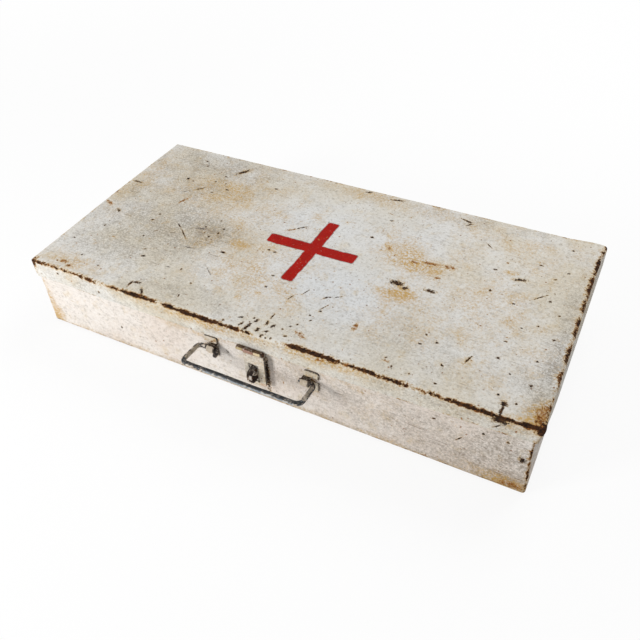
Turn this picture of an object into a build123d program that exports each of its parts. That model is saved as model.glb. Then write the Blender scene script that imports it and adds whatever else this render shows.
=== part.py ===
"""Flat painted sheet-steel first aid box: tray, hinged lid, hasp with its staple, and a wire bail handle.

Millimetres, +Z up, +X along the box, -Y towards the front, where the hasp and the handle are.
The origin is the middle of the box's footprint, on the surface that it stands on.
"""
from build123d import *
from math import cos, radians, sin
import os

os.makedirs("parts", exist_ok=True)

# Box
box_length = 450.0
box_depth = 222.0
box_height = 75.0
sheet = 0.8
lid_rim = 19.0
lid_play = 1.2
lid_seat = 0.3
lid_edge_radius = 1.8
lid_corner_radius = 2.5
tray_corner_radius = 3.0
tray_bottom_radius = 3.5
hem_height = 7.0
hem_bevel = 0.5
lap_width = 14.0
lap_end_gap = 6.0

# Back hinges
hinge_span = 280.0
hinge_width = 40.0
hinge_middle_knuckle = 15.0
hinge_pin_radius = 1.5
hinge_leaf = 1.0
hinge_drop = 1.5
lid_leaf_height = 12.5
tray_leaf_height = 20.0
leaf_corner_radius = 2.5
joggle_height = 2.5
joggle_lap = 0.33

# Running gaps
pin_gap = 0.05
knuckle_gap = 0.3
leaf_gap = 0.4
curl_gap = 0.2
slit_gap = 0.15

# Rivets
rivet_radius = 1.5
rivet_head_radius = 2.7
rivet_head_height = 1.2
rivet_head_slope = 0.8
rivet_head_bevel = 1.1
rivet_tail_radius = 2.3
rivet_tail_height = 0.4
rivet_gap = 0.05
rivet_spread = 24.0
rivet_upper_drop = 6.0
rivet_lower_drop = 13.0

# Hasp and staple
hasp_x = 4.0
hasp_rise = 0.3
hasp_width = 19.0
hasp_bottom = 21.0
hasp_thickness = 1.0
hasp_corner_radius = 3.5
hasp_shoulder_radius = 1.2
hasp_knuckle = 9.5
lid_left_knuckle = 5.5
lid_right_knuckle = 7.5
hasp_pin_radius = 1.2
hasp_lead = 0.8
hasp_pin_head = 0.8
hasp_pin_head_radius = 1.85
pin_head_bevel = 0.5
lock_x = 2.5
slot_width = 7.0
slot_height = 17.0
slot_corner_radius = 2.8
slot_middle = 33.5
staple_width = 4.5
staple_thickness = 1.6
staple_height = 13.5
staple_reach = 13.0
staple_bend = 5.0
staple_foot = 8.0

# Bail handle and its ears
bail_x = 4.0
bail_z = 44.0
bail_stand_off = 5.0
bail_span = 106.0
bail_leg = 24.0
bail_tilt = 5.0
bail_wire_radius = 2.0
bail_grip_bend = 8.0
bail_ear_bend = 4.0
bail_tail = 6.5
bail_tail_bend = 3.0
bail_tail_droop = 20.0
bail_end_stub = 2.5
ear_middle_x = 6.2
ear_inside_span = 78.5
ear_width = 13.0
ear_loop_width = 7.0
ear_sheet = 1.0
ear_gap = 0.3
ear_above = 9.0
ear_below = 11.5
ear_corner_radius = 2.5
ear_fold_radius = 1.2
ear_inner_fold = 0.7

# Worked out from the sizes above
lid_bottom = box_height - lid_rim
tray_length = box_length - 2 * (sheet + lid_play)
tray_depth = box_depth - 2 * (sheet + lid_play)
tray_height = box_height - sheet - lid_seat
tray_front = -tray_depth / 2
tray_back = tray_depth / 2
lid_front = -box_depth / 2
lid_back = box_depth / 2


def save(builder, name):
    """Labels a finished piece and writes it as its own STEP file."""
    builder.part.label = name
    export_step(builder.part, f"parts/{name}.step")


def nearest(shapes, point):
    """The shape of a list that lies nearest to a point."""
    return shapes.sort_by_distance(point)[0]


# Tray: folded box with a hem turned in along its top edge and lapped corners
staple_top = slot_middle + staple_height / 2
staple_base = slot_middle - staple_height / 2
slit_centres = (staple_top - staple_thickness / 2, staple_base + staple_thickness / 2)
hinge_centres = (-hinge_span / 2, hinge_span / 2)
hinge_outer = hinge_pin_radius + pin_gap + hinge_leaf
hinge_y = lid_back + hinge_outer
hinge_z = lid_bottom - hinge_drop
tray_leaf_top = hinge_z - hinge_outer - leaf_gap
joggle_foot = tray_leaf_top - joggle_height
tray_leaf_base = tray_leaf_top - tray_leaf_height
tray_rivets = (
    (-rivet_spread / 2, joggle_foot - rivet_upper_drop),
    (rivet_spread / 2, joggle_foot - rivet_upper_drop),
    (0, joggle_foot - rivet_lower_drop),
)
lid_leaf_base = hinge_z + hinge_outer + leaf_gap
lid_leaf_top = lid_leaf_base + lid_leaf_height
lid_rivets = (
    (-rivet_spread / 2, (lid_leaf_base + lid_leaf_top) / 2),
    (rivet_spread / 2, (lid_leaf_base + lid_leaf_top) / 2),
)

with BuildPart() as tray_shell:
    with BuildSketch():
        RectangleRounded(tray_length, tray_depth, tray_corner_radius)
    extrude(amount=tray_height)
    fillet(tray_shell.faces().sort_by(Axis.Z)[0].edges(), tray_bottom_radius)
    offset(amount=-sheet, openings=tray_shell.faces().sort_by(Axis.Z)[-1])
    with BuildSketch(Plane.XY.offset(tray_height - hem_height)):
        RectangleRounded(tray_length - sheet, tray_depth - sheet, tray_corner_radius - sheet / 2)
        RectangleRounded(
            tray_length - 4 * sheet,
            tray_depth - 4 * sheet,
            max(tray_corner_radius - 2 * sheet, sheet),
            mode=Mode.SUBTRACT,
        )
    extrude(amount=hem_height)
    chamfer(tray_shell.faces().sort_by(Axis.Z)[-1].edges(), hem_bevel)
    lap_low = tray_bottom_radius + lap_end_gap
    lap_high = tray_height - hem_height
    with BuildSketch(Plane.XY.offset(lap_low)):
        with GridLocations(tray_length - 3 * sheet, tray_depth - 2 * sheet - lap_width, 2, 2):
            Rectangle(sheet, lap_width)
    extrude(amount=lap_high - lap_low)
    with BuildSketch(Plane.XZ.offset(-tray_front)):
        with Locations(*[(lock_x, z) for z in slit_centres]):
            Rectangle(staple_width + 2 * slit_gap, staple_thickness + 2 * slit_gap)
    extrude(amount=-2 * sheet, mode=Mode.SUBTRACT)
    with BuildSketch(Plane.XZ.offset(-tray_back)):
        with Locations(*[(middle + x, z) for middle in hinge_centres for x, z in tray_rivets]):
            Circle(rivet_radius + rivet_gap)
    extrude(amount=2 * sheet, mode=Mode.SUBTRACT)
save(tray_shell, "tray_shell")

# Lid: folded cover whose front rim has two tabs, rolled forwards into knuckles for the hasp's pin
hasp_bore = hasp_pin_radius + pin_gap
hasp_outer = hasp_bore + hasp_lead
hasp_y = lid_front - hasp_outer - leaf_gap
hasp_z = lid_bottom + hasp_rise
knuckle_foot = hasp_z - hasp_outer
hasp_knuckle_start = hasp_x - hasp_width / 2
lid_knuckles = (
    (hasp_knuckle_start - knuckle_gap - lid_left_knuckle, lid_left_knuckle),
    (hasp_knuckle_start + hasp_knuckle + knuckle_gap, lid_right_knuckle),
)

with BuildPart() as lid_shell:
    with BuildSketch(Plane.XY.offset(lid_bottom)):
        RectangleRounded(box_length, box_depth, lid_corner_radius)
    extrude(amount=lid_rim)
    fillet(lid_shell.faces().sort_by(Axis.Z)[-1].edges(), lid_edge_radius)
    offset(amount=-sheet, openings=lid_shell.faces().sort_by(Axis.Z)[0])
    for knuckle_start, knuckle_width in lid_knuckles:
        with BuildSketch(Plane.YZ.offset(knuckle_start)) as rim_knuckle:
            with Locations((lid_front, knuckle_foot)):
                Rectangle(sheet, lid_bottom + sheet - knuckle_foot, align=(Align.MIN, Align.MIN))
            with Locations((hasp_y, knuckle_foot)):
                Rectangle(lid_front + sheet - hasp_y, sheet, align=(Align.MIN, Align.MIN))
            tab_fold = nearest(rim_knuckle.vertices(), Vector(lid_front + sheet, knuckle_foot, 0))
            fillet(tab_fold, sheet)
            with Locations((hasp_y, hasp_z)):
                Circle(hasp_outer)
            with Locations((hasp_y, knuckle_foot + sheet)):
                Rectangle(hasp_outer, curl_gap, align=(Align.MIN, Align.MIN), mode=Mode.SUBTRACT)
            with Locations((hasp_y, hasp_z)):
                Circle(hasp_bore, mode=Mode.SUBTRACT)
        extrude(amount=knuckle_width)
    with BuildSketch(Plane.XZ.offset(-lid_back)):
        with Locations(*[(middle + x, z) for middle in hinge_centres for x, z in lid_rivets]):
            Circle(rivet_radius + rivet_gap)
    extrude(amount=2 * sheet, mode=Mode.SUBTRACT)
save(lid_shell, "lid_shell")


def rivet_set(points, leaf_face, wall_inside):
    """Cone-headed rivets along Y that clamp a hinge leaf on a back wall, their heads on the leaf."""
    with BuildPart() as rivets:
        with BuildSketch(Plane.XZ.offset(-leaf_face)):
            with Locations(*points):
                Circle(rivet_head_radius)
        extrude(amount=-rivet_head_height)
        chamfer(rivets.edges().group_by(Axis.Y)[-1], rivet_head_slope, rivet_head_bevel)
        with BuildSketch(Plane.XZ.offset(-leaf_face)):
            with Locations(*points):
                Circle(rivet_radius)
        extrude(amount=leaf_face - wall_inside)
        with BuildSketch(Plane.XZ.offset(-wall_inside)):
            with Locations(*points):
                Circle(rivet_tail_radius)
        extrude(amount=rivet_tail_height)
    return rivets


def cross_pin(start, length, centre_y, centre_z, radius, head_radius, head):
    """A pin along X with a peened head beyond each end of its knuckles."""
    with BuildPart() as pin:
        with BuildSketch(Plane.YZ.offset(start - head)):
            with Locations((centre_y, centre_z)):
                Circle(head_radius)
        extrude(amount=head)
        with BuildSketch(Plane.YZ.offset(start + length)):
            with Locations((centre_y, centre_z)):
                Circle(head_radius)
        extrude(amount=head)
        outer_rims = pin.edges().filter_by(GeomType.CIRCLE).group_by(Axis.X)
        chamfer(outer_rims[0] + outer_rims[-1], pin_head_bevel)
        with BuildSketch(Plane.YZ.offset(start)):
            with Locations((centre_y, centre_z)):
                Circle(radius)
        extrude(amount=length)
    return pin


# Back hinges: each has a straight leaf on the lid's rim and a joggled leaf on the tray, round one pin
middle_half = hinge_middle_knuckle / 2
outer_knuckle = hinge_width / 2 - middle_half - knuckle_gap
bore = hinge_pin_radius + pin_gap
tray_leaf_outline = (
    (lid_back, hinge_z),
    (lid_back + hinge_leaf, hinge_z),
    (lid_back + hinge_leaf, tray_leaf_top),
    (tray_back + hinge_leaf, joggle_foot),
    (tray_back + hinge_leaf, tray_leaf_base),
    (tray_back, tray_leaf_base),
    (tray_back, joggle_foot + joggle_lap),
    (lid_back, tray_leaf_top + joggle_lap),
)

for side, middle in zip(("left", "right"), hinge_centres):
    hinge_start = middle - hinge_width / 2
    with BuildPart() as lid_leaf:
        with BuildSketch(Plane.XZ.offset(-lid_back)):
            with Locations((middle, (lid_leaf_base + lid_leaf_top) / 2)):
                Rectangle(hinge_width, lid_leaf_height)
        extrude(amount=-hinge_leaf)
        fillet(lid_leaf.edges().filter_by(Axis.Y).group_by(Axis.Z)[-1], leaf_corner_radius)
        with BuildSketch(Plane.XZ.offset(-lid_back)):
            with Locations(*[(middle + x, z) for x, z in lid_rivets]):
                Circle(rivet_radius + rivet_gap)
        extrude(amount=-hinge_leaf, mode=Mode.SUBTRACT)
        with BuildSketch(Plane.YZ.offset(middle - middle_half)):
            with Locations((hinge_y, hinge_z)):
                Circle(hinge_outer)
            with Locations((lid_back, hinge_z)):
                Rectangle(hinge_leaf, lid_leaf_base - hinge_z, align=(Align.MIN, Align.MIN))
            with Locations((lid_back + hinge_leaf, hinge_z)):
                Rectangle(curl_gap, hinge_outer, align=(Align.MIN, Align.MIN), mode=Mode.SUBTRACT)
            with Locations((hinge_y, hinge_z)):
                Circle(bore, mode=Mode.SUBTRACT)
        extrude(amount=hinge_middle_knuckle)
    save(lid_leaf, f"hinge_{side}_lid_leaf")

    with BuildPart() as tray_leaf:
        with BuildSketch(Plane.YZ.offset(hinge_start)):
            Polygon(*tray_leaf_outline, align=None)
        extrude(amount=hinge_width)
        with BuildSketch(Plane.YZ.offset(middle - middle_half - knuckle_gap)):
            with Locations((hinge_y, tray_leaf_top)):
                Rectangle(
                    4 * hinge_outer,
                    hinge_z - tray_leaf_top + hinge_outer,
                    align=(Align.CENTER, Align.MIN),
                )
        extrude(amount=hinge_middle_knuckle + 2 * knuckle_gap, mode=Mode.SUBTRACT)
        for knuckle_start in (hinge_start, middle + middle_half + knuckle_gap):
            with BuildSketch(Plane.YZ.offset(knuckle_start)):
                with Locations((hinge_y, hinge_z)):
                    Circle(hinge_outer)
                    Circle(bore, mode=Mode.SUBTRACT)
            extrude(amount=outer_knuckle)
            with BuildSketch(Plane.YZ.offset(knuckle_start)):
                with Locations((lid_back + hinge_leaf, hinge_z)):
                    Rectangle(curl_gap, hinge_outer, align=(Align.MIN, Align.MAX))
            extrude(amount=outer_knuckle, mode=Mode.SUBTRACT)
        lower_corners = tray_leaf.edges().filter_by(Axis.Y).group_by(Axis.Z)[0]
        fillet(lower_corners, leaf_corner_radius)
        with BuildSketch(Plane.XZ.offset(-tray_back)):
            with Locations(*[(middle + x, z) for x, z in tray_rivets]):
                Circle(rivet_radius + rivet_gap)
        extrude(amount=-hinge_leaf, mode=Mode.SUBTRACT)
    save(tray_leaf, f"hinge_{side}_tray_leaf")

    hinge_pin = cross_pin(
        hinge_start, hinge_width, hinge_y, hinge_z, hinge_pin_radius, hinge_outer, hinge_leaf
    )
    save(hinge_pin, f"hinge_{side}_pin")
    lid_points = [(middle + x, z) for x, z in lid_rivets]
    save(rivet_set(lid_points, lid_back + hinge_leaf, lid_back - sheet), f"hinge_{side}_lid_rivets")
    tray_points = [(middle + x, z) for x, z in tray_rivets]
    save(rivet_set(tray_points, tray_back + hinge_leaf, tray_back - sheet), f"hinge_{side}_tray_rivets")

# Hasp: slotted plate that hangs from a rolled knuckle between the lid's two
plate_front = hasp_y - hasp_bore
plate_back = plate_front + hasp_thickness
plate_top = hasp_z - hasp_outer - leaf_gap

with BuildPart() as hasp_plate:
    with BuildSketch(Plane.XZ.offset(-plate_front)):
        with Locations((hasp_x, (plate_top + hasp_bottom) / 2)):
            Rectangle(hasp_width, plate_top - hasp_bottom)
    extrude(amount=-hasp_thickness)
    upright_edges = hasp_plate.edges().filter_by(Axis.Y).group_by(Axis.Z)
    fillet(upright_edges[0], hasp_corner_radius)
    fillet(hasp_plate.edges().filter_by(Axis.Y).group_by(Axis.Z)[-1], hasp_shoulder_radius)
    with BuildSketch(Plane.YZ.offset(hasp_knuckle_start)):
        with Locations((hasp_y, hasp_z)):
            Circle(hasp_outer)
        with Locations((plate_front, hasp_z)):
            Rectangle(hasp_thickness, hasp_z - plate_top + hasp_thickness, align=(Align.MIN, Align.MAX))
        with Locations((plate_back, hasp_z)):
            Rectangle(curl_gap, hasp_outer, align=(Align.MIN, Align.MAX), mode=Mode.SUBTRACT)
        with Locations((hasp_y, hasp_z)):
            Circle(hasp_bore, mode=Mode.SUBTRACT)
    extrude(amount=hasp_knuckle)
    with BuildSketch(Plane.XZ.offset(-plate_front)):
        with Locations((lock_x, slot_middle)):
            RectangleRounded(slot_width, slot_height, slot_corner_radius)
    extrude(amount=-hasp_thickness, mode=Mode.SUBTRACT)
save(hasp_plate, "hasp_plate")

hasp_row_start = lid_knuckles[0][0]
hasp_row_end = lid_knuckles[1][0] + lid_right_knuckle
hasp_pin = cross_pin(
    hasp_row_start,
    hasp_row_end - hasp_row_start,
    hasp_y,
    hasp_z,
    hasp_pin_radius,
    hasp_pin_head_radius,
    hasp_pin_head,
)
save(hasp_pin, "hasp_pin")

# Staple: strip bent into an eye through the hasp's slot, its feet turned flat inside the tray
eye_front = tray_front - staple_reach
wall_inside = tray_front + sheet
foot_back = wall_inside + staple_thickness

with BuildPart() as staple:
    with BuildSketch(Plane.YZ.offset(lock_x - staple_width / 2)) as staple_section:
        with Locations((eye_front, slot_middle)):
            Rectangle(foot_back - eye_front, staple_height, align=(Align.MIN, Align.CENTER))
        fillet(staple_section.vertices().group_by(Axis.X)[0], staple_bend)
        with BuildSketch(mode=Mode.SUBTRACT) as eye:
            with Locations((eye_front + staple_thickness, slot_middle)):
                Rectangle(
                    foot_back - eye_front,
                    staple_height - 2 * staple_thickness,
                    align=(Align.MIN, Align.CENTER),
                )
            fillet(eye.vertices().group_by(Axis.X)[0], staple_bend - staple_thickness)
        foot_length = staple_foot + staple_thickness
        with Locations((wall_inside, staple_top - staple_thickness)):
            Rectangle(staple_thickness, foot_length, align=(Align.MIN, Align.MIN))
        with Locations((wall_inside, staple_base + staple_thickness)):
            Rectangle(staple_thickness, foot_length, align=(Align.MIN, Align.MAX))
    extrude(amount=staple_width)
save(staple, "staple")

# Bail ears: plates flat on the tray, each with a narrower strap pressed out in a half round over the wire
bail_y = tray_front - bail_stand_off
ear_inner = bail_wire_radius + ear_gap
ear_outer = ear_inner + ear_sheet
left_ear_inside = ear_middle_x - ear_inside_span / 2
right_ear_inside = ear_middle_x + ear_inside_span / 2
ear_places = {
    "left": (left_ear_inside - ear_width, left_ear_inside - ear_loop_width),
    "right": (right_ear_inside, right_ear_inside),
}

for side, (ear_start, loop_start) in ear_places.items():
    with BuildPart() as ear:
        with BuildSketch(Plane.YZ.offset(ear_start)):
            with Locations((tray_front, bail_z + ear_above)):
                Rectangle(ear_sheet, ear_above - ear_inner, align=(Align.MAX, Align.MAX))
            with Locations((tray_front, bail_z - ear_below)):
                Rectangle(ear_sheet, ear_below - ear_inner, align=(Align.MAX, Align.MIN))
        extrude(amount=ear_width)
        with BuildSketch(Plane.YZ.offset(loop_start)) as ear_section:
            with Locations((tray_front, bail_z + ear_above)):
                Rectangle(ear_sheet, ear_above + ear_below, align=(Align.MAX, Align.MAX))
            with Locations((tray_front, bail_z)):
                Rectangle(bail_stand_off, 2 * ear_outer, align=(Align.MAX, Align.CENTER))
            with Locations((bail_y, bail_z)):
                Circle(ear_outer)
            with Locations((tray_front, bail_z)):
                Rectangle(bail_stand_off, 2 * ear_inner, align=(Align.MAX, Align.CENTER), mode=Mode.SUBTRACT)
            with Locations((bail_y, bail_z)):
                Circle(ear_inner, mode=Mode.SUBTRACT)
            for rise in (-ear_outer, ear_outer):
                fold = nearest(ear_section.vertices(), Vector(tray_front - ear_sheet, bail_z + rise, 0))
                fillet(fold, ear_fold_radius)
            for rise in (-ear_inner, ear_inner):
                fold = nearest(ear_section.vertices(), Vector(tray_front, bail_z + rise, 0))
                fillet(fold, ear_inner_fold)
        extrude(amount=ear_loop_width)
        flange_corners = ear.edges().filter_by(Axis.Y).group_by(Axis.Z)
        fillet(flange_corners[0] + flange_corners[-1], ear_corner_radius)
    save(ear, f"bail_ear_{side}")

# Bail handle: one round wire from a turned-out tail, through both ears and round the grip
leg_reach = bail_leg * cos(radians(bail_tilt))
leg_rise = bail_leg * sin(radians(bail_tilt))
tail_x = left_ear_inside + bail_wire_radius + ear_gap
tail_y = bail_y - bail_tail * cos(radians(bail_tail_droop))
tail_z = bail_z - bail_tail * sin(radians(bail_tail_droop))
left_x = bail_x - bail_span / 2
right_x = bail_x + bail_span / 2
stub_x = right_ear_inside - bail_end_stub

with BuildPart() as bail_handle:
    with BuildLine() as wire_route:
        FilletPolyline(
            (tail_x, tail_y, tail_z),
            (tail_x, bail_y, bail_z),
            (left_x, bail_y, bail_z),
            (left_x, bail_y - leg_reach, bail_z + leg_rise),
            (right_x, bail_y - leg_reach, bail_z + leg_rise),
            (right_x, bail_y, bail_z),
            (stub_x, bail_y, bail_z),
            radius=[bail_tail_bend, bail_ear_bend, bail_grip_bend, bail_grip_bend, bail_ear_bend],
        )
    with BuildSketch(Plane(origin=wire_route.line @ 0, z_dir=wire_route.line % 0)):
        Circle(bail_wire_radius)
    sweep(path=wire_route.line)
save(bail_handle, "bail_handle")
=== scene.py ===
"""Flat painted sheet-steel first aid box, dressed round its construction model.

A shallow folded tray, a folded lid with a plain red cross, two butt hinges on the back, a slotted hasp
over a staple, and a wire bail in two pressed ears. Both shells are worked out as numpy surfaces, with
the bow, the sunk corner and the crusted edges of an old box, and every surface gets a worn finish.

Blender's units are metres, +Z up, -Y towards the front. Sizes here are millimetres; MM turns them.
"""

import logging
from abc import ABC, abstractmethod
from collections.abc import Iterable
from dataclasses import dataclass, field
from enum import Enum
from functools import partial, reduce
from math import radians

import bpy
import numpy as np
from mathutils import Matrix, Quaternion, Vector


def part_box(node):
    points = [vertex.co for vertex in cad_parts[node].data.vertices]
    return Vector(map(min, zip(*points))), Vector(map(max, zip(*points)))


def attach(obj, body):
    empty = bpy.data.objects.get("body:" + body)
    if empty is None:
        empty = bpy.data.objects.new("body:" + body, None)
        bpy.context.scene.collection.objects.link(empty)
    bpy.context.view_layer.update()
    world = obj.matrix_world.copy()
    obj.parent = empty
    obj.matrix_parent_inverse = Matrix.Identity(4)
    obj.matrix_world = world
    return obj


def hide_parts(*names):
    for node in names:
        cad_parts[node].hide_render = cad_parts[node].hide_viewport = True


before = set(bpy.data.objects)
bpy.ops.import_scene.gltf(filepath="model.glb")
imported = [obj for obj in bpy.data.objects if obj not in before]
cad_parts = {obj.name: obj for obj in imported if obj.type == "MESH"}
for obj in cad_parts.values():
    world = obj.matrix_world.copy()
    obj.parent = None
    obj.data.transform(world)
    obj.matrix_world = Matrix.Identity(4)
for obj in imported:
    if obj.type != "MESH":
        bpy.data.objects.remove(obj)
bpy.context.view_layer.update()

MM = 0.001
SEED = 7
# How many random values the noise's lattice has along each side.
LATTICE = 256
# The place within a mark, in half sizes, of a corner that no mark reaches.
NO_MARK = 50.0
# How far an outward direction has to point along an axis for its point to be on that wall.
FLAT_FACING = 0.7
FRONT_FACING = 0.8
# The y, in millimetres, before which a point is on the front wall.
FRONT_FROM = -100
LOG = logging.getLogger("first_aid_box")
# The inputs of the shared node groups that are vectors; the others are numbers.
VECTORS = ("Place", "Local", "Middle", "Half_Size")
Array = np.ndarray
Material = bpy.types.Material
Piece = bpy.types.Object
Tree = bpy.types.NodeTree
Socket = bpy.types.NodeSocket
Value = float | Socket
Colour = tuple[float, float, float, float]
Place = tuple[float, float, float]


def screen(red: int, green: int, blue: int) -> Colour:
    """A linear colour from the 0 to 255 values that a screen shows."""
    shares = np.array([red, green, blue]) / 255
    linear = np.where(shares <= 0.04045, shares / 12.92, ((shares + 0.055) / 1.055) ** 2.4)
    return (*linear.tolist(), 1.0)


class Face(Enum):
    """The side of a shell that a mark lies on."""

    TOP = "top"
    FRONT = "front"


class Wear(Enum):
    """What a mark is made of."""

    BARE = "bare"
    RUST = "rust"
    STAIN = "stain"
    SCRATCH = "scratch"

    @property
    def channel(self) -> str:
        """The name of the mesh attribute that holds the marks of this kind."""
        return "mark_" + self.value


@dataclass(frozen=True)
class Mark:
    """One chip, streak or spot of wear: an oval on the top (x, y) or on the front (x, z).

    across and up place its middle, length and width are its full size and turn is its angle in degrees.
    """

    across: float
    up: float
    length: float
    width: float
    turn: float = 0.0
    wear: Wear = Wear.BARE
    face: Face = Face.TOP


@dataclass(frozen=True)
class Patch:
    """A soft-edged cloud of stain or dirt: middle, reach along x and y (or z), and strength."""

    across: float
    up: float
    reach_across: float
    reach_up: float
    strength: float

    def density(self, x: Array, y: Array) -> Array:
        """Its strength at each point: a bell curve of the distance from its middle, in reaches."""
        spread = ((x - self.across) / self.reach_across) ** 2 + ((y - self.up) / self.reach_up) ** 2
        return self.strength * np.exp(-spread)


def clouds(patches: Iterable[Patch], x: Array, y: Array) -> Array:
    """The densities of several patches added up at each point."""
    return sum((patch.density(x, y) for patch in patches), np.zeros_like(x))


def bell(offset: Array, reach: float) -> Array:
    """A bell curve: 1 at no offset, falling to 1/e at reach."""
    return np.exp(-((offset / reach) ** 2))


def smooth_step(value: Array, low: float, high: float) -> Array:
    """0 below low, 1 above high, and the cubic 3t^2 - 2t^3 between them; low may be above high."""
    share = np.clip((value - low) / (high - low), 0, 1)
    return share * share * (3 - 2 * share)


def near(distance: Array, width: float) -> Array:
    """1 at no distance, falling evenly to 0 at width."""
    return np.clip(1 - distance / width, 0, 1)


def near_line(first: Array, second: Array, at: tuple[float, float], width: float) -> Array:
    """1 on an edge that runs square to two coordinates, falling evenly to 0 at width from it."""
    return near(np.hypot(first - at[0], second - at[1]), width)


def unit(rows: Array) -> Array:
    """Each row of numbers divided by its length."""
    return rows / np.linalg.norm(rows, axis=1, keepdims=True)


def sheet_noise(x: Array, y: Array, cell: float, seed: int) -> Array:
    """Smooth noise from -1 to 1: random values on a square lattice, blended by cubic steps.

    Args:
        x: first coordinate of each point, in millimetres.
        y: second coordinate of each point.
        cell: the lattice's spacing.
        seed: picks the random values.

    Returns:
        One value for each point.
    """
    lattice = np.random.default_rng(SEED + seed).uniform(-1, 1, (LATTICE, LATTICE))
    across, up = x / cell + LATTICE / 2, y / cell + LATTICE / 2
    column, row = np.floor(across).astype(int), np.floor(up).astype(int)
    right, top = smooth_step(across - column, 0, 1), smooth_step(up - row, 0, 1)
    columns, rows = (column % LATTICE, (column + 1) % LATTICE), (row % LATTICE, (row + 1) % LATTICE)
    low, high = (lattice[columns[0], at] * (1 - right) + lattice[columns[1], at] * right for at in rows)
    return low * (1 - top) + high * top


def make_piece(
    name: str,
    points: Array,
    faces: Array,
    material: Material,
    channels: dict[str, Array] | None = None,
    smooth: bool = True,
) -> Piece:
    """Makes an object at the origin from points in millimetres and quads.

    Args:
        name: the piece's name.
        points: one row of x, y, z for each vertex.
        faces: one row of four vertex numbers for each quad.
        material: what it is made of.
        channels: what its finish reads, by name: a number for each vertex, or three for each corner.
        smooth: whether faces are shaded smooth.

    Returns:
        The new object, linked to the scene.
    """
    mesh = bpy.data.meshes.new(name)
    mesh.from_pydata((points * MM).tolist(), [], faces.tolist())
    mesh.polygons.foreach_set("use_smooth", np.full(len(faces), smooth))
    for channel, values in (channels or {}).items():
        at_corners = values.ndim == 2
        kind, domain = ("FLOAT_VECTOR", "CORNER") if at_corners else ("FLOAT", "POINT")
        layer = mesh.attributes.new(channel, kind, domain)
        layer.data.foreach_set("vector" if at_corners else "value", values.astype(np.float32).ravel())
    mesh.update()
    mesh.materials.append(material)
    piece = bpy.data.objects.new(name, mesh)
    bpy.context.scene.collection.objects.link(piece)
    LOG.info("%s: %d points, %d quads", name, len(points), len(faces))
    return piece


def tube_faces(around: int, steps: int, rungs: int) -> Array:
    """The quads of a tube whose rings of points follow each other, closed at both ends.

    Args:
        around: how many points each ring has.
        steps: how many rings there are.
        rungs: how many quads close each end, side by side between the ring's two halves.

    Returns:
        One row of four vertex numbers for each quad.
    """
    here = np.arange((steps - 1) * around).reshape(steps - 1, around)
    ahead = np.roll(here, -1, axis=1)
    sides = np.stack([here, ahead, ahead + around, here + around], -1).reshape(-1, 4)
    rung = np.arange(rungs)
    cap = np.column_stack([rung, around - 1 - rung, around - 2 - rung, rung + 1])
    return np.vstack([sides, cap, cap[:, ::-1] + (steps - 1) * around])


def swept_strip(outer: Array, inner: Array, stations: Array) -> tuple[Array, Array]:
    """A strip of sheet with a bent section, carried straight along x.

    The section is two lines of (y, z) points, the sheet's two faces. Point k of either line at station i
    is (x_i, y_k, z_k), and each end is closed by quads between the lines.

    Args:
        outer: one face's (y, z) points.
        inner: the other face's, as many.
        stations: the x of each section.

    Returns:
        The points and the quads.
    """
    loop = np.vstack([outer, inner[::-1]])
    points = np.column_stack([np.repeat(stations, len(loop)), np.tile(loop, (len(stations), 1))])
    return points, tube_faces(len(loop), len(stations), len(outer) - 1)


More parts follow.
